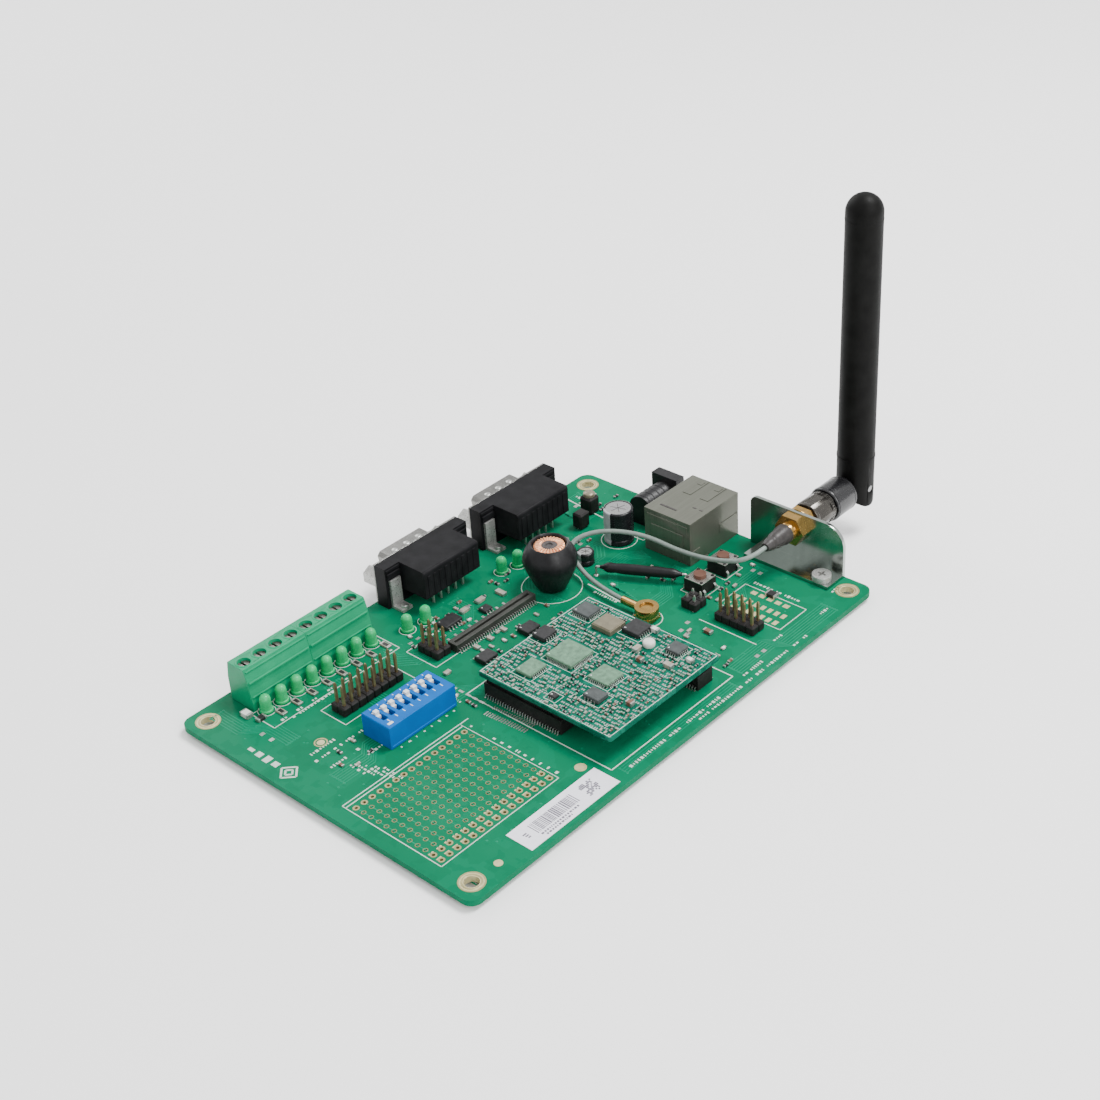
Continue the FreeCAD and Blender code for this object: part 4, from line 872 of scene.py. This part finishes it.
def make_surface_parts():
    parts = Shape()
    for k in range(8):
        y = -57.4 + 5.08 * k
        chip_pair(parts, -33.9, y, TOP, 3.2, 1.6, 0.6, 2)
        parts.box((-34.8, y - 0.5, TOP + 0.55), (-33.0, y + 0.5, TOP + 0.63), 0.02, 0)
    for x, y, wide, deep, high, body in SMALL_PARTS:
        chip_pair(parts, x, y, TOP, wide, deep, high, body)
    for y in (-10.0, 6.0):
        package(parts, -8.8, y, TOP, 3.9, 4.9, 1.6, 4, 1.27, "x", 1.0)
    package(parts, -27.6, -4.6, TOP, 3.9, 6.2, 1.5, 5, 1.1, "x", 1.0)
    package(parts, -24.4, 5.8, TOP, 2.6, 3.0, 1.1, 3, 0.95, "x", 0.7)
    # scattered small parts between the ports, the strip connector and the rear parts
    zones = ((-33.0, -18.0, -24.5, 22.0, 26), (-15.4, -11.0, -5.0, 20.0, 18), (-12.5, 34.0, -3.0, 36.5, 4),
             (-4.0, 41.5, 8.0, 50.5, 10), (18.5, 45.4, 21.6, 66.0, 12), (22.0, 24.4, 42.0, 31.6, 12),
             (-33.0, 38.0, -23.0, 49.0, 14), (-42.0, 56.0, -26.0, 71.0, 12), (-11.6, -27.0, 3.0, -24.6, 4),
             (-13.0, -66.0, 3.5, -53.0, 6))
    taken = []
    for x0, y0, x1, y1, count in zones:
        for _ in range(count):
            x, y = random.uniform(x0, x1), random.uniform(y0, y1)
            turn = random.random() < 0.5
            wide, deep = (1.6, 0.8) if turn else (0.8, 1.6)
            body = random.choice((0, 0, 2, 2, 3, 4))
            if all(abs(x - a) > 2.0 or abs(y - b) > 2.0 for a, b in taken):
                taken.append((x, y))
                chip_pair(parts, x, y, TOP, wide, deep, 0.6, body)
    piece("surface_chips", parts,
          ("chip_black", "tin", "chip_ceramic", "chip_brown", "chip_white"), ("surface_parts",))


make_surface_parts()


def make_upright_parts():
    parts = Shape()
    x, y = -35.5, 60.5
    parts.box((x - 2.1, y - 2.1, TOP), (x + 2.1, y + 2.1, TOP + 5.2), 0.5)
    parts.lathe((x, y, TOP + 5.2), ((1.7, 0), (1.7, 0.8), (1.4, 1.1), (0, 1.2)), sides=24, mark=1)
    for dx in (-1, 1):
        for dy in (-1, 1):
            a, b = 18.1 + 1.25 * dx, 40.9 + 1.25 * dy
            parts.box((a - 1.24, b - 1.24, TOP), (a + 1.24, b + 1.24, TOP + (3.0 if dx < 0 else 2.6)), 0.3)
            square_pin(parts, a, b, TOP, TOP + 4.5, 0.3, 2)
    x, y = -31.8, 52.6
    parts.box((x - 1.7, y - 2.0, TOP + 0.3), (x + 1.7, y + 2.0, TOP + 5.0), 0.45)
    parts.box((x - 1.75, y - 1.2, TOP + 1.2), (x - 1.6, y + 1.2, TOP + 4.2), 0.05, 1)
    for k in (-1, 0, 1):
        square_pin(parts, x, y + 1.27 * k, TOP - 0.4, TOP + 0.6, 0.25, 2)
    piece("upright_parts", parts, ("black_plastic", "can_rose", "tin"),
          ("upright_blocks",))


make_upright_parts()


# ---- switch block
def make_switch_marks():
    marks = Shape()
    low, high = SWITCH_TOP, SWITCH_TOP + 0.05
    for y in SWITCH_ROWS:
        marks.box((-4.2, y - 0.12, low), (-3.2, y + 0.12, high), 0.01)
        marks.box((-10.6, y - 0.1, low), (-10.1, y + 0.1, high), 0.01)
    marks.box((-3.0, -49.6, low), (-2.2, -48.0, high), 0.01)
    piece("switch_marks", marks, ("knob",), smooth=False)
    lip = Shape()
    lip.box((-11.3, -50.3, TOP + 0.1), (-1.1, -28.6, TOP + 1.0), 0.2)
    piece("switch_foot", lip, ("switch_blue",))


make_switch_marks()


# ---- serial ports
def make_port_parts():
    pins, trims = Shape(), Shape()
    axis_z = 7.85
    contact = ((0, 0), (0.3, 0.06), (0.46, 0.35), (0.5, 0.7), (0.5, 5.0))
    board_lock = ((0.9, -1.1), (1.25, -0.7), (1.25, TOP + 0.9), (0.9, TOP + 1.5), (0, TOP + 1.6))
    dimple = ((1.0, 0), (0.85, 0.16), (0.5, 0.26), (0, 0.3))
    for centre in SERIAL_CENTRES:
        for count, rise, tail in ((5, 1.42, -38.3), (4, -1.42, -41.1)):
            for k in range(count):
                y = centre + (k - (count - 1) / 2) * 2.77
                pins.lathe((-55.0, y, axis_z + rise), contact, axis=(1, 0, 0), sides=14)
                square_pin(pins, tail, y, TAIL, 6.2, 0.28, 1)
                joint(pins, tail, y, 0.8, 2)
        for k in range(9):
            y = centre + (k - 4) * 2.1
            trims.box((-35.86, y - 0.55, 6.4), (-35.62, y + 0.55, 12.6), 0.1)
        trims.box((-45.5, centre - 15.2, 12.9), (-45.1, centre + 15.2, 13.7), 0.15)
        for y in (centre - 12.5, centre + 12.5):
            trims.box((-45.5, y - 2.4, 10.4), (-44.9, y + 2.4, 12.4), 0.15)
            pins.lathe((-42.2, y, 0), board_lock, sides=18, mark=1)
        for face in (-1, 1):
            for k in (-1, 0, 1):
                pins.lathe((-53.2, centre + 4.4 * k, axis_z + 4.08 * face), dimple,
                           axis=(0, 0, face), sides=18, mark=1)
    piece("serial_pins", pins, ("brass", "tin", "solder"), ("serial_contacts",))
    piece("serial_trims", trims, ("port_black",))


make_port_parts()


# ---- network and power jacks
def make_jack_parts():
    details, springs = Shape(), Shape()
    left, right, rear, front, top = -10.3, 5.7, 55.1, 76.4, 15.0
    middle = (left + right) / 2
    for x in (middle - 4.4, middle + 1.6):
        details.box((x, front - 9.0, top - 0.05), (x + 2.8, front - 0.5, top + 0.16), 0.06)
        details.box((x + 0.6, front - 3.4, top + 0.1), (x + 2.2, front - 1.4, top + 0.3), 0.1)
    for side, x in ((-1, left), (1, right)):
        low, high = (x - 0.16, x + 0.05) if side < 0 else (x - 0.05, x + 0.16)
        details.box((low, front - 8.6, 6.2), (high, front - 0.5, 9.0), 0.06)
        details.box((low, rear + 1.0, 3.2), (high, rear + 4.2, 6.0), 0.06)
        details.box((x - 0.25, rear + 6.0, -1.1), (x + 0.25, rear + 7.6, TOP + 0.4), 0.08)
    details.box((left + 1.0, rear - 0.14, 11.6), (right - 1.0, rear + 0.05, 13.6), 0.06)
    details.box((left + 2.4, rear - 0.14, 2.6), (right - 2.4, rear + 0.05, 10.6), 0.06)
    details.box((middle - 5.2, rear + 3.4, top - 0.05), (middle + 0.4, rear + 4.0, top + 0.1), 0.04, 1)
    for x in (middle + 3.0, middle + 5.2):
        details.box((x, rear + 7.4, top - 0.05), (x + 1.2, rear + 7.8, top + 0.08), 0.03, 1)
    piece("shield_folds", details, ("shield", "ferrite"))
    for k in range(8):
        x = middle + (k - 3.5) * 1.27
        springs.wire([(x, 64.5, 8.4), (x, 66.0, 9.1), (x, 69.8, 11.5), (x, 70.6, 11.9), (x, 71.4, 11.7)],
                     0.2, up=(1, 0, 0))
        y = 60.0 + GRID * (k % 2)
        joint(springs, x, y, 0.75)
        square_pin(springs, x, y, TAIL, 0.2, 0.2)
    piece("jack_springs", springs, ("brass", "solder"), ("network_contacts",))
    metal = Shape()
    metal.lathe((POWER_X, 66.0, 7.0), ((1.0, 0), (1.0, 8.8), (0.8, 9.3), (0.4, 9.6), (0, 9.62)),
                axis=ALONG_Y, sides=24)
    spring = [(POWER_X, 67.0, 4.3), (POWER_X, 71.0, 4.9), (POWER_X, 75.0, 4.4)]
    metal.strip(spring, 0.25, 2.4, up=(1, 0, 0))
    for x, y in ((-20.8, 65.4), (-16.8, 70.8), (-20.8, 72.8)):
        metal.box((x - 0.4, y - 0.8, TAIL), (x + 0.4, y + 0.8, TOP), 0.12)
        joint(metal, x, y, 1.3)
    piece("power_pin", metal, ("tin", "solder"), ("power_jack_metal",))
    ribs = Shape()
    for y in (64.4, 66.6, 68.8, 71.0):
        ribs.lathe((POWER_X, y, 6.5), ((4.1, 0), (4.3, 0.12), (4.3, 0.5), (4.1, 0.62)), axis=ALONG_Y,
                   sides=40, ring=True)
    ribs.lathe((POWER_X, 77.35, 7.0), ((3.2, -0.4), (3.2, 0.1), (3.75, 0.1), (3.75, -0.4)), axis=ALONG_Y,
               sides=40, ring=True)
    piece("power_ribs", ribs, ("jack_black",))


make_jack_parts()


# ---- keys, choke, cans, sleeve
def make_key_parts():
    parts = Shape()
    for x, y in KEYS:
        for dx in (-2.35, 2.35):
            for dy in (-2.35, 2.35):
                parts.lathe((x + dx, y + dy, 5.5), ((0.5, 0), (0.45, 0.16), (0.2, 0.26), (0, 0.28)), sides=12)
            for dy in (-2.25, 2.25):
                side = 1 if dx > 0 else -1
                parts.strip([(x + 2.9 * side, y + dy, 3.4), (x + 3.5 * side, y + dy, 2.9),
                             (x + 3.5 * side, y + dy, -1.0)], 0.25, 0.7, up=(0, 1, 0), mark=1)
                joint(parts, x + 3.5 * side, y + dy, 0.8)
    piece("key_trims", parts, ("black_plastic", "tin"))


make_key_parts()


def make_choke():
    sleeve = Shape()

    def creases(angle, height):
        ease = max(0.0, min(1.0, (height - 0.5) / 6))
        return 1 - 0.010 * ease * (1 + math.sin(7 * angle + 0.3 * height)) - 0.004 * math.sin(17 * angle)

    outside = [(0, 0), (3.2, 0), (4.0, 0.4), (4.9, 2.0), (5.9, 4.2), (6.8, 6.2), (7.4, 7.8), (7.58, 8.8),
               (7.45, 10.0), (7.0, 11.3), (6.3, 12.6), (5.7, 13.5), (5.2, 13.95), (4.85, 13.85), (4.65, 13.4),
               (4.6, 12.7), (0, 12.7)]
    sleeve.lathe((CHOKE_X, CHOKE_Y, TOP), outside, sides=64, wobble=creases)
    piece("choke_shrink", sleeve, ("shrink",), ("choke_sleeve",))
    coil = Shape()
    turns, per_turn = 26, 10
    path = []
    for k in range(turns * per_turn + 1):
        around = 2 * math.pi * k / (turns * per_turn)
        small = 2 * math.pi * k / per_turn
        r = 3.15 + 0.95 * math.cos(small)
        path.append((CHOKE_X + r * math.cos(around), CHOKE_Y + r * math.sin(around),
                     14.75 + 0.40 * math.sin(small)))
    coil.wire(path, 0.20, up=(0.02, 0.01, 1), sides=6)
    foot = (CHOKE_X, CHOKE_Y, 14.2)
    coil.lathe(foot, ((0, 0), (2.35, 0), (2.35, 0.55), (2.1, 0.8), (1.0, 0.8), (0.9, 0.5), (0, 0.5)),
               sides=32, mark=1)
    coil.washer(foot, 2.3, 4.2, 0, 0.5, sides=32)
    piece("choke_coil", coil, ("copper", "ferrite"), ("choke_winding",))


make_choke()


def make_cans():
    cans = Shape()
    for x, y, r, high, top in ((-18.9, 54.1, 4.2, 10.4, 2), (-27.2, 33.6, 3.0, 7.4, 3),
                               (-18.4, 39.4, 2.4, 3.9, 2)):
        profile = ((0, 0), (r * 0.93, 0), (r, 0.25), (r, 1.15), (r - 0.28, 1.6), (r, 2.05),
                   (r, high - 0.5), (r - 0.1, high - 0.12), (r - 0.35, high), (r - 0.62, high - 0.04),
                   (r - 0.66, high - 0.2), (0, high - 0.2))
        cans.lathe((x, y, TOP), profile, sides=48, stripe=(30, 37, 1))
        lid = ((0, 0), (r - 0.6, 0), (r - 0.66, 0.10), (0, 0.12))
        cans.lathe((x, y, TOP + high - 0.22), lid, sides=40, mark=top)
        for k in range(3):
            angle = 0.3 + k * math.pi / 3
            reach = Vector((math.cos(angle), math.sin(angle), 0)) * (r * 0.55)
            at = Vector((x, y, TOP + high - 0.085))
            cans.strip([at - reach, at + reach], 0.16, 0.03, mark=4)
    piece("cans", cans, ("can_sleeve", "can_stripe", "can_top", "can_rose", "ferrite"),
          ("capacitors",))


make_cans()


def make_sleeve():
    run = SLEEVE_END - SLEEVE_START
    long = run.length
    shape = Shape()

    def creases(angle, height):
        return 1 - 0.02 * (1 + math.sin(5 * angle + 1.1 * height)) * (0.5 + 0.5 * math.sin(0.7 * height))

    profile = ((0, -2.4), (0.5, -2.38), (0.62, -1.7), (1.05, -1.0), (1.38, -0.3), (1.46, 0.6), (1.3, 2.0),
               (1.5, 4.0), (1.52, 7.5), (1.46, 10.5), (1.5, 13.5), (1.36, long - 1.6), (1.42, long - 0.2),
               (1.1, long + 0.8), (0.66, long + 1.7), (0.5, long + 2.38), (0, long + 2.4))
    shape.lathe(SLEEVE_START, profile, axis=run.normalized(), sides=32, wobble=creases)
    piece("axial_shrink", shape, ("shrink",), ("axial_sleeve",))


make_sleeve()


# ---- strip connector and module
def make_strip_leads():
    leads = Shape()
    for k in range(36):
        y = -11.9 + 0.8 * k
        gull(leads, -20.0, y, TOP, (-1, 0), 0.9, 1.1, 0.32, 0)
        gull(leads, -16.6, y, TOP, (1, 0), 0.9, 1.1, 0.32, 0)
    piece("strip_leads", leads, ("tin",))
    leads = Shape()
    for left, front in ((1.4, -21.2), (16.4, 12.6)):
        for k in range(30):
            x = left + 0.8 + 0.83 * k
            gull(leads, x, front, TOP, (0, -1), 0.9, 0.8, 0.32, 0)
            gull(leads, x, front + 5.8, TOP, (0, 1), 0.9, 0.8, 0.32, 0)
    piece("module_socket_leads", leads, ("tin",))


make_strip_leads()

MODULE_CHIPS = ("chip_black", "tin", "chip_ceramic", "chip_brown", "chip_white", "chip_sage")
MODULE_ICS = (
    (14.3, -3.4, 8.6, 8.6, 1.3, 5, 14, 0.5, "xy"), (3.5, -0.8, 4.2, 5.0, 1.4, 0, 5, 0.8, "x"),
    (5.2, 13.4, 5.4, 5.2, 1.3, 6, 8, 0.6, "xy"), (20.6, 15.0, 5.4, 5.6, 1.5, 0, 6, 0.8, "x"),
    (33.8, 14.6, 4.2, 4.2, 1.2, 6, 5, 0.65, "xy"), (22.4, -18.2, 2.2, 1.8, 0.9, 0, 3, 0.6, "y"),
    (27.2, -4.6, 6.4, 6.4, 1.1, 5, 9, 0.6, "xy"), (30.6, -12.2, 4.9, 3.9, 1.4, 6, 4, 1.0, "y"),
    (10.6, -13.4, 5.0, 6.2, 1.1, 5, 8, 0.65, "x"),
)


def make_module_parts():
    parts = Shape()
    for x, y, wide, deep, high, body, pins, pitch, sides in MODULE_ICS:
        package(parts, x, y, MODULE_TOP, wide, deep, high, pins, pitch, sides, 0.55, body, 0.28)
    # radio can: lid over a folded frame
    parts.box((10.6, 9.0, MODULE_TOP), (17.0, 15.0, MODULE_TOP + 1.45), 0.12, 7)
    parts.box((10.8, 9.2, MODULE_TOP + 1.3), (16.8, 14.8, MODULE_TOP + 1.7), 0.25, 7)
    piece("module_packages", parts,
          (*MODULE_CHIPS, "chip_slate", "can_rose"), ("module_chips",))
    small = Shape()
    button = ((0, 0), (1.5, 0), (1.6, 0.3), (1.6, 1.1), (1.3, 1.5), (0, 1.6))
    small.lathe((27.0, 12.1, MODULE_TOP), button, sides=28, mark=4)
    for x, y, wide, deep, high, body in ((29.4, 5.7, 2.0, 1.4, 1.2, 3), (39.4, 12.9, 2.2, 1.3, 1.1, 4),
                                         (38.9, -9.3, 2.0, 1.4, 1.2, 3), (26.0, 8.6, 1.6, 2.4, 1.2, 2),
                                         (24.4, 17.6, 2.4, 1.4, 1.2, 4), (36.6, 8.0, 2.6, 1.6, 1.2, 2)):
        chip_pair(small, x, y, MODULE_TOP, wide, deep, high, body)
    blocks = [(x, y, wide / 2 + 0.9, deep / 2 + 0.9) for x, y, wide, deep, *_ in MODULE_ICS]
    blocks += [(13.8, 12.0, 3.6, 3.4), (27.0, 12.1, 2.0, 2.0), (29.4, 5.7, 1.4, 1.2), (39.4, 12.9, 1.5, 1.1),
               (38.9, -9.3, 1.4, 1.1), (26.0, 8.6, 1.2, 1.6), (24.4, 17.6, 1.6, 1.1), (36.6, 8.0, 1.8, 1.2)]
    y = -21.0
    row = 0
    while y < 19.0:
        x = 1.4 + 0.5 * (row % 2)
        while x < 42.6:
            free = all(abs(x - a) > w + 0.35 or abs(y - b) > d + 0.35 for a, b, w, d in blocks)
            if free and random.random() < 0.52:
                turn = random.random() < 0.5
                wide, deep = (1.05, 0.55) if turn else (0.55, 1.05)
                body = random.choice((0, 2, 5, 3, 5, 2, 5, 0))
                shift = random.uniform(-0.16, 0.16)
                chip_pair(small, x + shift, y, MODULE_TOP, wide, deep, random.uniform(0.35, 0.6), body)
            elif free:
                for a, b in ((x - 0.5, x - 0.1), (x + 0.1, x + 0.5)):
                    small.box((a, y - 0.3, MODULE_TOP), (b, y + 0.3, MODULE_TOP + 0.04), 0.01, 1)
            x += 1.42
        y += 1.34
        row += 1
    piece("module_chip_parts", small, MODULE_CHIPS)
    ink = Shape()
    z = MODULE_TOP + INK / 2
    for x, y, wide, deep, *_ in MODULE_ICS:
        w, d = wide / 2 + 0.75, deep / 2 + 0.75
        ink.outline(x - w, y - d, x + w, y + d, z, 0.14)
    for _ in range(110):
        x, y = random.uniform(1.2, 42.4), random.uniform(-21.3, 18.7)
        run = random.uniform(0.5, 1.6)
        dx, dy = (run, 0) if random.random() < 0.5 else (0, run)
        ink.strip([(x, y, z), (min(42.9, x + dx), min(19.0, y + dy), z)], 0.16, INK)
    ink.outline(0.9, -21.5, 43.0, 19.0, z, 0.2)
    piece("module_print", ink, ("silk",), smooth=False)


make_module_parts()


# ---- antenna details
def make_antenna_parts():
    crimp = Shape()
    profile = ((0.66, 0), (1.2, 0.05), (1.5, 0.9), (1.75, 1.8), (1.85, 2.6), (1.75, 3.0), (1.95, 3.4),
               (2.35, 4.4), (2.45, 6.4), (2.74, 7.1), (2.74, 8.9), (2.62, 9.1))
    crimp.lathe((RADIO_X, 61.5, RADIO_Z), profile, axis=ALONG_Y, sides=32)
    piece("crimp_boot", crimp, ("crimp",), ("cable_crimp",))

    def ring(shape, y, profile, sides, **how):
        """A ring round the antenna's axis."""
        shape.lathe((RADIO_X, y, RADIO_Z), profile, axis=ALONG_Y, sides=sides, ring=True, **how)

    threads = Shape()
    for k in range(4):
        ring(threads, 78.72 + 0.24 * k, ((3.0, 0), (3.2, 0.1), (3.2, 0.14), (3.0, 0.23)), 32)
    ring(threads, 66.0, ((1.8, 0), (2.25, 0.1), (2.25, 2.4), (1.8, 2.5)), 32)
    piece("socket_threads", threads, ("gold_fitting",))
    collars = Shape()

    def teeth(angle, height):
        return 1.0 if math.sin(36 * angle) > 0 else 0.955

    ring(collars, 79.55, ((3.3, 0), (4.25, 0), (4.45, 0.2), (4.45, 1.1), (4.2, 1.35), (3.3, 1.35)), 48)
    ring(collars, 86.3, ((3.3, 0), (4.62, 0), (4.62, 1.2), (4.3, 1.5), (3.3, 1.5)), 144, wobble=teeth)
    piece("nut_collars", collars, ("nickel",), body="coupling_nut")
    rings = Shape()
    for y, r in ((88.9, 5.08), (96.0, 5.06)):
        ring(rings, y, ((4.8, 0), (r, 0.08), (r, 0.5), (4.8, 0.58)), 48)
    piece("base_rings", rings, ("base_black",), body="antenna_base")
    cuff = Shape()
    cuff.lathe((RADIO_X, 103.0, 21.4), ((5.0, 0), (5.3, 0.15), (5.3, 0.75), (5.0, 0.9)), sides=56, ring=True)
    cuff.lathe((RADIO_X, 103.0, 90.8), ((4.8, 0), (5.05, 0.1), (5.05, 0.35), (4.8, 0.45)), sides=56,
               ring=True)
    piece("whip_cuff", cuff, ("whip_black",), body="antenna_whip")


make_antenna_parts()


# ---- floor and light
def make_stage():
    mesh = bpy.data.meshes.new("floor")
    half, z = 3.0, -0.0013
    corners = [(-half, -half, z), (half, -half, z), (half, half, z), (-half, half, z)]
    mesh.from_pydata(corners, [], [(0, 1, 2, 3)])
    floor = bpy.data.objects.new("floor", mesh)
    bpy.context.scene.collection.objects.link(floor)
    mesh.materials.append(Finish("floor", (0.90, 0.90, 0.90), rough=0.9, tone=0.005, grain=3, dent=0.0).mat)
    world = bpy.data.worlds.new("studio")
    bpy.context.scene.world = world
    world.use_nodes = True
    backdrop = world.node_tree.nodes["Background"]
    backdrop.inputs["Color"].default_value = (1.0, 1.0, 1.0, 1.0)
    backdrop.inputs["Strength"].default_value = 1.2
    aim_at = Vector((0.0, 0.01, 0.0))
    for name, place, size, power in (("key", (0.22, 0.42, 0.95), 0.45, 17.0),
                                     ("fill", (0.85, -0.12, 0.5), 0.6, 6.0),
                                     ("side", (-0.8, 0.25, 0.45), 0.5, 3.0)):
        data = bpy.data.lights.new(name, "AREA")
        data.shape = "DISK"
        data.size = size
        data.energy = power
        light = bpy.data.objects.new(name, data)
        light.location = place
        light.rotation_euler = (aim_at - Vector(place)).to_track_quat("-Z", "Y").to_euler()
        bpy.context.scene.collection.objects.link(light)


make_stage()
